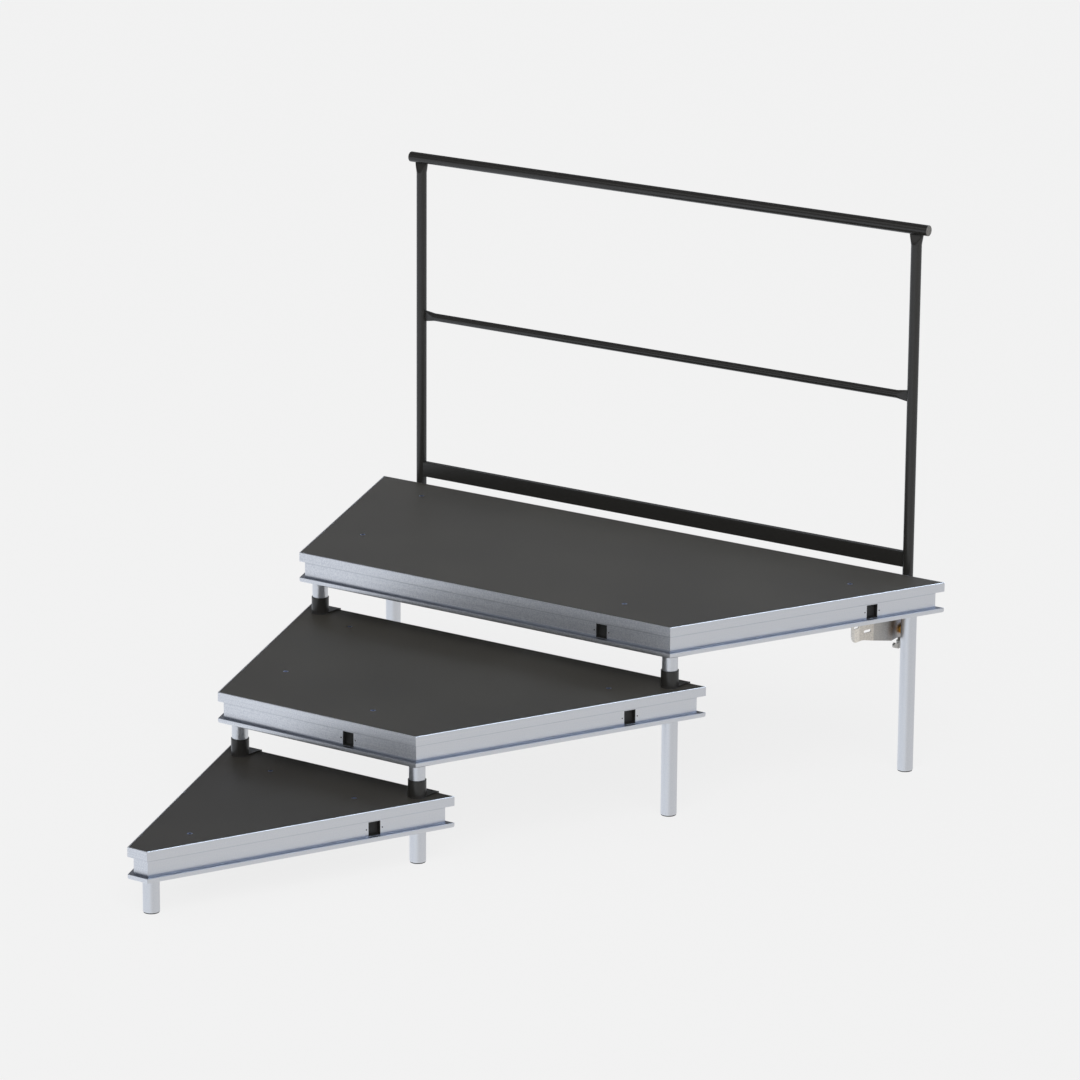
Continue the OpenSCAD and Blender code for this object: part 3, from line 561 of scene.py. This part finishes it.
DRAWN_TUBE = mill_extrusion("drawn_tube", upright=True)
MOULDED_PLUG = moulded_black("moulded_plug", "2a2a2a", "323232", 0.5, 0.6)
plug_inner, plug_rim = LEG_RADIUS - LEG_WALL - 0.35, PLUG_HEIGHT + 0.1
plug_outline = soften([(AXIS, 0.0), (LEG_RADIUS - 1.6, 0.0), (LEG_RADIUS - 1.1, plug_rim),
                       (plug_inner, plug_rim), (plug_inner, PLUG_DEEP), (AXIS, PLUG_DEEP)],
                      [0.0, 1.2, 0.1, 0.1, 0.5, 0.0], 5)
for deck in DECKS:
    leg_top = deck_top(deck) - BOARD_SEAT - LEG_UNDER_BOARD
    piece(f"{deck}_leg_tubes", [leg_part(*leg, leg_top) for leg in leg_places(deck)], DRAWN_TUBE,
          f"{deck}_deck", [f"{deck}_legs"])
for deck in DECKS:
    piece(f"{deck}_moulded_plugs", [turned(plug_outline, 64, leg) for leg in leg_places(deck)], MOULDED_PLUG,
          f"{deck}_deck", [f"{deck}_foot_plugs"])


# Step adapters: black powder-coated steel. A sleeve takes the leg of the deck above; its plate lies
# on the tread and is folded down over the back edge, with a short hook under the nose.
OVERLAP = DEPTH - PITCH
SLEEVE_BORE = LEG_RADIUS + 0.3
SLEEVE_OUTER = SLEEVE_BORE + 2.55
SLEEVE_TALL = 52.5
SLEEVE_SUNK = 1.0
HOOK = 11.0
HOOK_GAP = 0.2


def powder_coat(name):
    """Satin black powder coat with a soft sheen. Its orange peel of 3 mm is about twice as coarse as
    real, so that it shows."""
    material, tree, surface = finish(name, Specular_IOR_Level=0.5)
    peel = add(tree, "TexNoise", {"Vector": stretched(tree)}, Scale=per(3.0), Detail=1.0).outputs["Fac"]
    tinted(tree, surface, peel, "201f1d", "252422")
    rough_between(tree, surface, peel, 0.26, 0.34)
    bumped(tree, surface, peel, 0.05, 0.4)
    return material


def folded_bar(outline, rounding, half, edge=0.8):
    """A closed outline of (y, z) points carried across x, from -half to half. Its points are drawn in
    along their normals by `edge` at both ends, for a worn rim."""
    section = soften(outline, rounding, 5)
    chord = np.roll(section, 1, 0) - np.roll(section, -1, 0)
    normal = np.stack([-chord[:, 1], chord[:, 0]], 1)
    normal /= np.maximum(np.linalg.norm(normal, axis=1, keepdims=True), 1e-9)
    y, z = section.T
    spin = np.sign(np.sum(y * np.roll(z, -1) - np.roll(y, -1) * z))
    rows = [(-half, edge), (-half + edge, 0.0), (half - edge, 0.0), (half, edge)]
    points = np.array([np.column_stack([np.full(len(section), x), section + spin * inset * normal])
                       for x, inset in rows])
    return points.reshape(-1, 3), capped(len(rows), len(section))


def adapter_parts(x, y, deck, above):
    """Sleeve, folded plate and the plate's round end, for one front leg of the deck above. The fold's
    outline runs from the leg to the deck's back edge, down the nose and back under it by the hook."""
    sleeve = soften([(SLEEVE_BORE, PLATE - SLEEVE_SUNK), (SLEEVE_OUTER, PLATE - SLEEVE_SUNK),
                     (SLEEVE_OUTER, SLEEVE_TALL), (SLEEVE_BORE, SLEEVE_TALL)], [0.2, 0.2, 1.1, 1.1], 5)
    disc = soften([(AXIS, 0.0), (SLEEVE_OUTER + 0.9, 0.0), (SLEEVE_OUTER + 0.3, PLATE), (AXIS, PLATE)],
                  [0.0, 0.3, 0.6, 0.0], 4)
    edge = OVERLAP - LEG_FROM_FRONT[above] + HOOK_GAP
    low = -GROOVE_TOP - HOOK_GAP
    fold = [(0, 0), (edge, 0), (edge, low), (edge - HOOK, low), (edge - HOOK, low - PLATE),
            (edge + PLATE, low - PLATE), (edge + PLATE, PLATE), (0, PLATE)]
    spot = (x, y, deck_top(deck))
    fold_points, fold_faces = folded_bar(fold, [0.2, 0.3, 0.3, 0.6, 0.6, 3.5, 3.5, 0.2], SLEEVE_OUTER)
    return [turned(sleeve, 72, spot), (fold_points + np.array(spot), fold_faces), turned(disc, 72, spot)]


ADAPTER_COAT = powder_coat("powder_coated_adapter")
for deck, above in zip(DECKS, DECKS[1:]):
    parts = [part for x, y, _ in leg_places(above)[2:] for part in adapter_parts(x, y, deck, above)]
    piece(f"{deck}_adapter_castings", parts, ADAPTER_COAT, f"{deck}_deck",
          [f"{deck}_step_adapters"])


# Coupling locks: black coated steel cases and latches, zinc-plated key spindles with a hexagon
# socket, and two small screws beside each pocket.
SCREW_FROM_POCKET = 6.5


def plated(name, dark, light, rough_low, rough_high, size_mm=4.0):
    """Plated metal whose tone and gloss cloud over a few millimetres."""
    material, tree, surface = finish(name, Metallic=1.0)
    clouds = add(tree, "TexNoise", {"Vector": stretched(tree)}, Scale=per(size_mm), Detail=3.0).outputs["Fac"]
    tinted(tree, surface, clouds, dark, light)
    rough_between(tree, surface, clouds, rough_low, rough_high)
    bumped(tree, surface, clouds, 0.02, 0.3)
    return material


LOCK_COAT = moulded_black("coated_lock", "1e1e1e", "292927", 0.5, 0.62, 2.0)
LOCKS = [f"{deck}_{side}" for deck in DECKS for side in LOCKED[deck]]
dress([f"{deck}_lock_cases" for deck in DECKS], LOCK_COAT)
dress([f"{lock}_latch" for lock in LOCKS], LOCK_COAT)
dress([f"{lock}_key_spindle" for lock in LOCKS], plated("blue_zinc", "a0abcb", "c4cce0", 0.38, 0.48))

pocket_screw = soften([(AXIS, -0.6), (2.1, -0.6), (2.1, 0.3), (1.2, 1.0), (0.9, 0.5), (AXIS, 0.5)],
                      [0.0, 0.1, 0.4, 0.2, 0.1, 0.0], 3)
for deck in DECKS:
    parts = []
    for side in LOCKED[deck]:
        start, along, inwards, _ = deck_side(deck, side)
        for way in (-1, 1):
            points, faces = turned(pocket_screw, 20)
            reach = lock_along(deck, side) + way * (POCKET_HALF + SCREW_FROM_POCKET)
            spot = start + reach * along + WEB * inwards + (POCKET_TOP + POCKET_LOW) / 2 * UP
            facing_out = points[:, :1] * along + points[:, 1:2] * UP - points[:, 2:] * inwards
            parts.append((spot + facing_out, faces))
    piece(f"{deck}_pocket_screws", parts, LOCK_COAT, f"{deck}_deck")


# Rail brackets: 3 mm stainless sheet cut to one flat shape and folded round the post's foot. One
# cheek runs on as an arm under the deck, cranked inwards and slotted. A welded plate carries the post.
SHEET = 3.0
TUBE = 16.5
POST_GAP = 0.3
POST_X = BACK_WIDTH / 2 - 143.0
FRAME_LOW = deck_top("top") - FRAME_TALL
# The middle of the sheet: to either side of the post, and behind it
CHEEK = TUBE + POST_GAP + SHEET / 2
WALL_Y = 2 * (TUBE + POST_GAP) + SHEET / 2
# Lengths run in from the deck's back edge, and heights up from the frame's lower edge
DROP = 97.0
ARM = 300.0
SHORT_CHEEK = 85.0
FOLD = 3.5
CRANK = 17.5
CRANK_IN = 203.0
LOBE = 26.0
UNDER_GAP = 0.4
TAB_TOP = 24.0
BOLT_IN, BOLT_Z = 42.0, -62.0
BOLT_RADIUS = 9.9
SCREW_IN = 21.5
SHELF_TOP, SHELF_THICK = -94.0, 2.8
BRIDGE_Z, BRIDGE_HALF_TALL, BRIDGE_HALF_DEEP = -78.3, 9.0, 13.0


def arc(centre, radius, start, end, steps=9):
    """Points along an arc, angles in degrees."""
    angle = np.radians(np.linspace(start, end, steps))
    return np.column_stack([centre[0] + radius * np.cos(angle), centre[1] + radius * np.sin(angle)])


def slot_loop(start, end, height, wide=9.0):
    """A slot with round ends between two distances along the arm."""
    r = wide / 2
    return np.concatenate([arc((end - r, height), r, -90, 90), arc((start + r, height), r, 90, 270)])


def inside(points, loop):
    """Which points lie inside a closed loop: a ray to the right crosses it an odd number of times."""
    x, y = points[:, :1], points[:, 1:]
    a, b = loop, np.roll(loop, -1, 0)
    crossed = (a[:, 1] > y) != (b[:, 1] > y)
    rise = np.where(np.abs(b[:, 1] - a[:, 1]) < 1e-12, 1e-12, b[:, 1] - a[:, 1])
    return (crossed & (x < a[:, 0] + (y - a[:, 1]) * (b[:, 0] - a[:, 0]) / rise)).sum(1) % 2 == 1


# The plan of the sheet's middle: straight cheeks, rounded folds at the wall, an S-shaped crank given
# as shares of its whole offset
crank_in = CRANK_IN + np.array([0.0, 3.0, 7.0, 13.0, 49.0, 54.0, 59.0, 64.0, 69.0, 74.0, 79.0])
crank_x = CHEEK - CRANK * np.array([0.0, 0.02, 0.065, 0.14, 0.66, 0.73, 0.80, 0.87, 0.93, 0.98, 1.0])
PLAN = np.concatenate([[(-CHEEK, -SHORT_CHEEK)], arc((-CHEEK + FOLD, WALL_Y - FOLD), FOLD, 180, 90, 7),
                       arc((CHEEK - FOLD, WALL_Y - FOLD), FOLD, 90, 0, 7),
                       np.column_stack([crank_x, -crank_in]), [(CHEEK - CRANK, -ARM)]])
ALONG_PLAN = np.concatenate([[0], np.cumsum(np.linalg.norm(np.diff(PLAN, axis=0), axis=1))])
# The arm's side of the plan starts where the second fold ends
LONG_SIDE = slice(len(PLAN) - 2 - len(crank_in), None)


def on_arm(inwards):
    """Distance along the flat sheet for a distance in from the back edge, on the arm's side."""
    return np.interp(inwards, -PLAN[LONG_SIDE, 1], ALONG_PLAN[LONG_SIDE])


def on_short(inwards):
    """The same on the side of the short cheek."""
    return SHORT_CHEEK - np.asarray(inwards, float)


def flat_sheet():
    """The flat shape's outline and holes as loops of (distance along the sheet, height). Each side's
    half is drawn in (distance in from the back edge, height), up to the wall. Behind the frame a tab
    stands up and steps over the frame's lower lip into its groove."""
    lip, web = FRAME_TALL - GROOVE_LOW + HOOK_GAP, WEB - HOOK_GAP
    tab = [(-HOOK_GAP, -UNDER_GAP), (-HOOK_GAP, lip), (web, lip), (web, TAB_TOP), (-WALL_Y, TAB_TOP)]
    knee, wall_foot = (76.5, -86.3), (-WALL_Y, -DROP)
    lower = [wall_foot, knee, (100.3, -88.3), (CRANK_IN, -64.0), (240.0, -55.8), (250.0, -54.6),
             (257.0, -55.2)]
    lobe = arc((ARM - LOBE, -31.0), LOBE, -90, 0, 12)
    near = soften(np.concatenate([lower, lobe, [(ARM, -UNDER_GAP)], tab]), 1.6, 3)
    near = np.column_stack([on_arm(near[:, 0]), near[:, 1]])
    cheek_end = SHORT_CHEEK - 0.5
    far = soften(tab[::-1] + [(cheek_end, -UNDER_GAP), (cheek_end, -87.0), knee, wall_foot], 1.6, 3)
    far = np.column_stack([on_short(far[:, 0]), far[:, 1]])
    # The two sides meet along the wall, so neither keeps its points past the folds
    past_fold = FOLD - WALL_Y + 0.6
    near = near[near[:, 0] > on_arm(past_fold)]
    far = far[far[:, 0] < on_short(past_fold)]
    bolt_hole = arc((0.0, 0.0), BOLT_RADIUS + 0.4, 0, 345, 24)
    slots = [slot_loop(215.0, 244.0, -29.1), slot_loop(265.0, 288.0, -9.0)]
    holes = [np.column_stack([on_arm(loop[:, 0]), loop[:, 1]]) for loop in slots]
    holes += [bolt_hole + np.array([side(BOLT_IN), BOLT_Z]) for side in (on_arm, on_short)]
    return np.concatenate([near, far]), holes


def bent_sheet():
    """The flat shape in triangles, cut along lines across every fold, then carried onto the plan."""
    outline, holes = flat_sheet()
    loops = [outline, *holes]
    folds = ALONG_PLAN[1:-1]
    lines = np.array([[(f, -DROP - 5), (f, TAB_TOP + 6)] for f in folds]).reshape(-1, 2)
    points = np.concatenate(loops + [lines])
    edges, first = [], 0
    for loop in loops:
        index = np.arange(len(loop))
        edges += np.column_stack([first + index, first + (index + 1) % len(loop)]).tolist()
        first += len(loop)
    edges += [(first + 2 * i, first + 2 * i + 1) for i in range(len(folds))]
    cut = geometry.delaunay_2d_cdt([Vector(p) for p in points], edges, [], 0, 1e-4)
    flat = np.array([tuple(v) for v in cut[0]])
    faces = np.array([tuple(f) for f in cut[2]])
    middle = flat[faces].mean(1)
    kept = inside(middle, outline)
    for hole in holes:
        kept &= ~inside(middle, hole)
    plan = [np.interp(flat[:, 0], ALONG_PLAN, PLAN[:, axis]) for axis in (0, 1)]
    return np.column_stack([*plan, flat[:, 1]]), faces[kept].tolist()


def stainless():
    """Rolled stainless with a fine grain of 3.8 mm, coarser than real so that it shows. The arm is painted
    bright and warm, with a painted highlight along its bend, and the cheeks beside the leg are painted duller
    as painted shade, with painted reflections of the nut and the leg as straw and blue rings round the welded
    bridge, stronger higher up."""
    material, tree, surface = finish("rolled_stainless", Metallic=1.0)
    grain = add(tree, "TexNoise", {"Vector": stretched(tree)}, Scale=per(3.8), Detail=2.0).outputs["Fac"]
    where = add(tree, "TexCoord").outputs["Object"]
    axes = add(tree, "SeparateXYZ", {"Vector": where}).outputs
    inwards = add(tree, "MapRange", {"Value": axes["Y"]}, From_Min=BACK_EDGE * MM,
                  From_Max=(BACK_EDGE - ARM) * MM)
    # Painted light along the arm: painted shade on the cheek up to the crank, a lighter facet beyond it, and
    # a painted highlight along the bend
    arm = stops(tree, inwards.outputs["Result"], (0.0, "bdb9b4"), (0.672, "c2beb8"), (0.684, "e0d9ce"),
                (0.865, "e6dfd4"), (0.885, "fff8ec"), (0.94, "fff8ec"), (0.955, "f2eee6"))
    # Painted reflections of the nut and the leg: straw and blue rings round the welded bridge, stronger
    # higher up
    in_plane = add(tree, "VectorMath", {0: where, 1: (0.0, 1.0, 1.0)}, operation="MULTIPLY")
    weld = (0.0, (BACK_EDGE - SCREW_IN) * MM, (FRAME_LOW + BRIDGE_Z) * MM)
    from_weld = add(tree, "VectorMath", {0: in_plane.outputs["Vector"], 1: weld}, operation="DISTANCE")
    nut_and_leg_reflection = stops(tree, from_weld.outputs["Value"], (0.03, "ffffff"), (0.052, "c3cae0"), (0.066, "c3c6d4"),
                 (0.080, "ecd6c0"), (0.092, "f0e2d4"), (0.112, "ffffff"))
    strength = add(tree, "MapRange", {"Value": axes["Z"]}, From_Min=(FRAME_LOW - 75.0) * MM,
                   From_Max=(FRAME_LOW - 45.0) * MM, To_Min=0.35, To_Max=0.9)
    arm_with_reflections = add(tree, "MixRGB", {"Fac": strength.outputs["Result"], "Color1": arm, "Color2": nut_and_leg_reflection},
                 blend_type="MULTIPLY")
    speck = stops(tree, grain, (0.35, "e4e4e4"), (0.65, "ffffff"))
    both = add(tree, "MixRGB", {"Color1": arm_with_reflections.outputs["Color"], "Color2": speck}, blend_type="MULTIPLY",
               Fac=1.0)
    tree.links.new(both.outputs["Color"], surface.inputs["Base Color"])
    rough_between(tree, surface, grain, 0.30, 0.42)
    bumped(tree, surface, grain, 0.05, 0.5)
    return material


def at_bracket(part, way):
    """A part in the right bracket's own frame, placed at either bracket (way -1 is the left one)."""
    points, faces = part
    return points * np.array([way, 1.0, 1.0]) + np.array([way * POST_X, BACK_EDGE, FRAME_LOW]), faces


STAINLESS = stainless()
sheets = piece("bracket_sheets", [at_bracket(bent_sheet(), way) for way in (-1, 1)], STAINLESS, "top_deck",
               ["rail_brackets"], sharp=60.0)
thick = sheets.modifiers.new("sheet", "SOLIDIFY")
thick.thickness = SHEET * MM
thick.offset = 0.0
thick.use_even_offset = True
worn_edge = sheets.modifiers.new("worn_edges", "BEVEL")
worn_edge.width = 0.5 * MM
worn_edge.segments = 2
worn_edge.limit_method = "ANGLE"
worn_edge.angle_limit = math.radians(50)
sheets.modifiers.move(0, 2)

# The post stands on the shelf plate, and the clamp screw runs through the bridge. Both are welded in
# between the cheeks, with their ends sunk in them.
between = CHEEK - SHEET / 2 + 0.8
shelf_low, shelf_deep = SHELF_TOP - SHELF_THICK, 34.0
shelf_plate = folded_bar([(POST_GAP, shelf_low), (shelf_deep, shelf_low), (shelf_deep, SHELF_TOP),
                          (POST_GAP, SHELF_TOP)], 0.6, between)
bridge_corners = np.array([(-1, -1), (1, -1), (1, 1), (-1, 1)]) * (BRIDGE_HALF_DEEP, BRIDGE_HALF_TALL)
bridge = folded_bar(bridge_corners + np.array([-SCREW_IN, BRIDGE_Z]), 2.0, between)
piece("bracket_welded_plates", [at_bracket(part, way) for part in (shelf_plate, bridge) for way in (-1, 1)],
      STAINLESS, "top_deck")


# Cross bolt, nut and clamp screw: turned and forged steel, zinc plated. Hexagons have their corners
# turned off at 30 degrees, the screw is threaded and its wing handle is forged on.
CHEEK_OUT = CHEEK + SHEET / 2
HEXAGON = 30.0
HEAD_TALL, NUT_TALL = 8.0, 10.0
HUB_LOW, HUB_TALL, HUB_RADIUS = -131.0, 24.0, 10.0
WING_REACH = 34.0
EAR = 6.5
THREAD_PITCH = 1.75
THREAD_OUTER, THREAD_ROOT = 5.95, 5.2
THREAD_LOW, THREAD_TOP = -107.5, -2.0
ZINC = plated("bright_zinc", "b6b3ae", "cbc8c2", 0.35, 0.5, 6.0)
YELLOW_ZINC = plated("yellow_zinc", "f2ac3c", "ffd080", 0.46, 0.58, 5.0)


def hexagon(across, height, bore=0.0, start=0.0, count=72):
    """A hexagon prism along x. Each ring's radius is the lesser of the hexagon's and of a 30 degree
    cone that starts a little inside the flats, so the corners are turned off at the ends."""
    angle = np.linspace(0, 2 * math.pi, count, endpoint=False)
    flat = across / 2 / np.cos((angle + math.pi / 6) % (math.pi / 3) - math.pi / 6)
    cut = np.array([0.0, 0.4, 0.8, 1.2, 1.8])
    x = np.concatenate([cut, height - cut[::-1]])
    cone = across * 0.475 + np.minimum(x, height - x) / math.tan(math.radians(30))
    radius = np.minimum(flat[None, :], cone[:, None])
    if bore:
        radius = np.concatenate([np.full((1, count), bore), radius, np.full((1, count), bore)])
        x = np.concatenate([x[:1] + 0.5, x, x[-1:] - 0.5])
    points = np.stack([np.broadcast_to(start + x[:, None], radius.shape), radius * np.cos(angle),
                       radius * np.sin(angle)], -1)
    faces = grid_faces(len(x), count, True).tolist() if bore else capped(len(x), count)
    return points.reshape(-1, 3), faces


def shift(part, move):
    """The part with all its points moved by the same vector."""
    return part[0] + np.array(move), part[1]


bolt_spot = (0.0, -BOLT_IN, BOLT_Z)
head_end, nut_end = -CHEEK_OUT - 1, CHEEK_OUT + NUT_TALL - 0.1
neck = BOLT_RADIUS - 0.9
# The shank is turned about a vertical axis and then laid along x
shank_points, shank_faces = turned([(neck, head_end), (BOLT_RADIUS, -CHEEK_OUT), (BOLT_RADIUS, nut_end - 0.9),
                                    (neck, nut_end), (AXIS, nut_end), (AXIS, head_end)], 48)
shank = (shank_points[:, [2, 0, 1]], shank_faces)
head = hexagon(HEXAGON, HEAD_TALL, start=-CHEEK_OUT - HEAD_TALL)
bolt_parts = [at_bracket(shift(part, bolt_spot), way) for part in (head, shank) for way in (-1, 1)]
piece("bracket_cross_bolts", bolt_parts, ZINC, "top_deck", ["bracket_bolts"])
nut = shift(hexagon(HEXAGON, NUT_TALL, BOLT_RADIUS + 0.2, CHEEK_OUT), bolt_spot)
piece("bracket_cross_nuts", [at_bracket(nut, way) for way in (-1, 1)], YELLOW_ZINC, "top_deck",
      ["bracket_nuts"])

# The thread is a row of ridges and roots, turned about the screw's axis. A wing's loop runs round two
# circles, of which the outer one is higher by a radius.
ridge = np.arange(THREAD_LOW + 1.5, THREAD_TOP - 1.0, THREAD_PITCH)
thread = np.stack([np.column_stack([np.full(len(ridge), THREAD_OUTER), ridge]),
                   np.column_stack([np.full(len(ridge), THREAD_ROOT), ridge + THREAD_PITCH / 2])], 1)
clamp_screw = np.concatenate([[(AXIS, THREAD_LOW), (THREAD_OUTER, THREAD_LOW)], thread.reshape(-1, 2),
                              [(THREAD_ROOT, THREAD_TOP), (THREAD_ROOT - 1, 0.0), (AXIS, 0.0)]])
hub_top = HUB_LOW + HUB_TALL
hub = soften([(AXIS, HUB_LOW), (HUB_RADIUS, HUB_LOW), (HUB_RADIUS, hub_top), (AXIS, hub_top)],
             [0.0, 2.2, 2.2, 0.0], 5)
low_ear, high_ear = (HUB_RADIUS - 2, HUB_LOW + EAR), (WING_REACH - EAR, HUB_LOW + 2 * EAR)
tilt = math.degrees(math.atan2(high_ear[1] - low_ear[1], high_ear[0] - low_ear[0]))
wing_loop = np.concatenate([arc(high_ear, EAR, tilt - 90, tilt + 90, 12),
                            arc(low_ear, EAR, tilt + 90, tilt + 270, 12)])
wing_points, wing_faces = folded_bar(wing_loop, 0.4, 3.5, 1.4)
screw_parts = [turned(clamp_screw, 32), turned(hub, 48), (wing_points, wing_faces),
               (wing_points * np.array([1, -1, 1]), wing_faces)]
screw_parts = [shift(part, (0.0, -SCREW_IN, 0.0)) for part in screw_parts]
for body, way in (("left_clamp_screw", -1), ("right_clamp_screw", 1)):
    piece(f"{body}_forging", [at_bracket(part, way) for part in screw_parts], ZINC, body,
          [body])


# Guard rail: black powder-coated steel tube. The posts are pressed flat where they meet the top
# rail, the middle rail where it meets the posts, and the toe board is a box tube between them.
RAIL_COAT = powder_coat("powder_coated_rail")
POST_Y = BACK_EDGE + TUBE + POST_GAP
POST_LOW = FRAME_LOW + SHELF_TOP
RAIL_Z = deck_top("top") + 1092.0 - TUBE
RAIL_HALF = BACK_WIDTH / 2 - 100.0
MID_Z = deck_top("top") + 558.0
MID_TUBE = 12.5
TOE_LOW, TOE_TALL, TOE_HALF = deck_top("top") + 21.0, 48.0, 10.0
RING = 64
BORE_SEEN = 60.0
PRESSED_HALF = 4.0
PRESS_STEPS = np.linspace(0, 1, 17)


def pressed(share, radius, wide, thick, count=RING):
    """A ring on the way from a round tube (share 0) to a flat of the given half sizes (share 1). Its
    width grows evenly, and two planes close in on it: each height is the smooth least of the ring's
    own and of the planes' (power 10), so a pointed facet is left on either face."""
    angle = np.linspace(0, 2 * math.pi, count, endpoint=False)
    c, s = np.cos(angle), np.sin(angle)
    plane = (1 - share) * radius * 1.08 + share * thick
    tall = radius * np.abs(s) + 1e-6
    tall = np.where(share > 0, (tall ** -10 + plane ** -10.0) ** -0.1, tall)
    return np.stack([((1 - share) * radius + share * wide) * c, np.sign(s) * tall], 1)


def post_part(way):
    """Rings of (x, y) points that run down the bore to the post's open foot, then up its outside to the
    pressed end that is sunk in the top rail."""
    press_long, wide, wall, foot_edge, sunk = 31.0, 23.0, 2.0, 0.8, 3.0
    flat_top = RAIL_Z - TUBE + sunk
    heights = [POST_LOW + BORE_SEEN, POST_LOW, POST_LOW, POST_LOW + foot_edge,
               *(flat_top - sunk - press_long * (1 - PRESS_STEPS)), flat_top]
    radii = [TUBE - wall, TUBE - wall, TUBE - foot_edge, *[TUBE] * (len(heights) - 3)]
    shares = [0, 0, 0, 0, *PRESS_STEPS, 1.0]
    rings = np.array([np.column_stack([pressed(share, radius, wide, PRESSED_HALF), np.full(RING, height)])
                      for share, radius, height in zip(shares, radii, heights)])
    return rings.reshape(-1, 3) + np.array([way * POST_X, POST_Y, 0.0]), capped(len(rings), RING)


piece("guard_post_tubes", [post_part(way) for way in (-1, 1)], RAIL_COAT, "guard_rail",
      ["guard_posts"])


def lying(rings, xs, height):
    """Rings of (y, z) points about the rail's line, set at stations along x and at a height."""
    rings = np.asarray(rings)
    across = np.broadcast_to(np.asarray(xs, float).reshape(len(rings), -1), rings.shape[:2])
    points = np.concatenate([across[..., None], rings], -1).reshape(-1, 3)
    return points + np.array([0, POST_Y, height]), capped(*rings.shape[:2])


CAP = 3.0
tube_ring = pressed(0.0, TUBE, 1.0, 1.0)
top_tube = lying([tube_ring, tube_ring], [CAP - RAIL_HALF, RAIL_HALF - CAP], RAIL_Z)
piece("guard_top_tube", [top_tube], RAIL_COAT, "guard_rail", ["guard_top_rail"])

# Moulded end caps, flush with the tube and a little domed, in a greyer plastic than the coat
dome = np.array([(TUBE - 0.15, 0.0), (TUBE, 0.3), (TUBE, 1.6), (TUBE - 0.5, 2.3), (TUBE - 1.6, 2.75),
                 (TUBE * 0.5, 2.95), (0.3, CAP)])
dome_rings = [tube_ring / TUBE * radius for radius, _ in dome]
cap_parts = [lying(dome_rings, way * (RAIL_HALF - CAP + dome[:, 1]), RAIL_Z) for way in (-1, 1)]
MOULDED_CAP = moulded_black("moulded_cap", "676562", "72706c", 0.5, 0.6)
caps = piece("guard_end_caps", cap_parts, MOULDED_CAP, "guard_rail", ["guard_rail_caps"])
caps.data.materials.append(RAIL_COAT)
facing = np.array([abs(polygon.normal.x) for polygon in caps.data.polygons])
caps.data.polygons.foreach_set("material_index", (facing < 0.6).astype(np.int32))

# The ends of the middle rail and the toe board are coped to the posts: they reach further where the
# post's round surface falls away, by its radius less the root of radius squared less y squared
MID_PRESS_LONG, MID_WIDE = 38.0, 18.0
mid_half = POST_X - TUBE
mid_ends = mid_half - MID_PRESS_LONG * (1 - PRESS_STEPS)
mid_xs = np.concatenate([-mid_ends[::-1], mid_ends])[:, None]
mid_shares = np.concatenate([PRESS_STEPS[::-1], PRESS_STEPS])
mid_rings = np.array([pressed(share, MID_TUBE, MID_WIDE, PRESSED_HALF)[:, ::-1] for share in mid_shares])
cope = TUBE - np.sqrt(TUBE ** 2 - np.minimum(np.abs(mid_rings[..., 0]), TUBE - 0.1) ** 2)
reach = np.abs(mid_xs) + cope * (np.abs(mid_xs) > mid_half - 0.01)
piece("guard_mid_tube", [lying(mid_rings, np.sign(mid_xs) * reach, MID_Z)], RAIL_COAT, "guard_rail",
      ["guard_mid_rail"])

toe_ring = soften([(-TOE_HALF, 0), (TOE_HALF, 0), (TOE_HALF, TOE_TALL), (-TOE_HALF, TOE_TALL)], 2.0, 6)
toe_end = mid_half + TUBE - np.sqrt(TUBE ** 2 - toe_ring[:, 0] ** 2)
piece("guard_toe_tube", [lying([toe_ring, toe_ring], [-toe_end, toe_end], TOE_LOW)], RAIL_COAT, "guard_rail",
      ["guard_toe_board"])
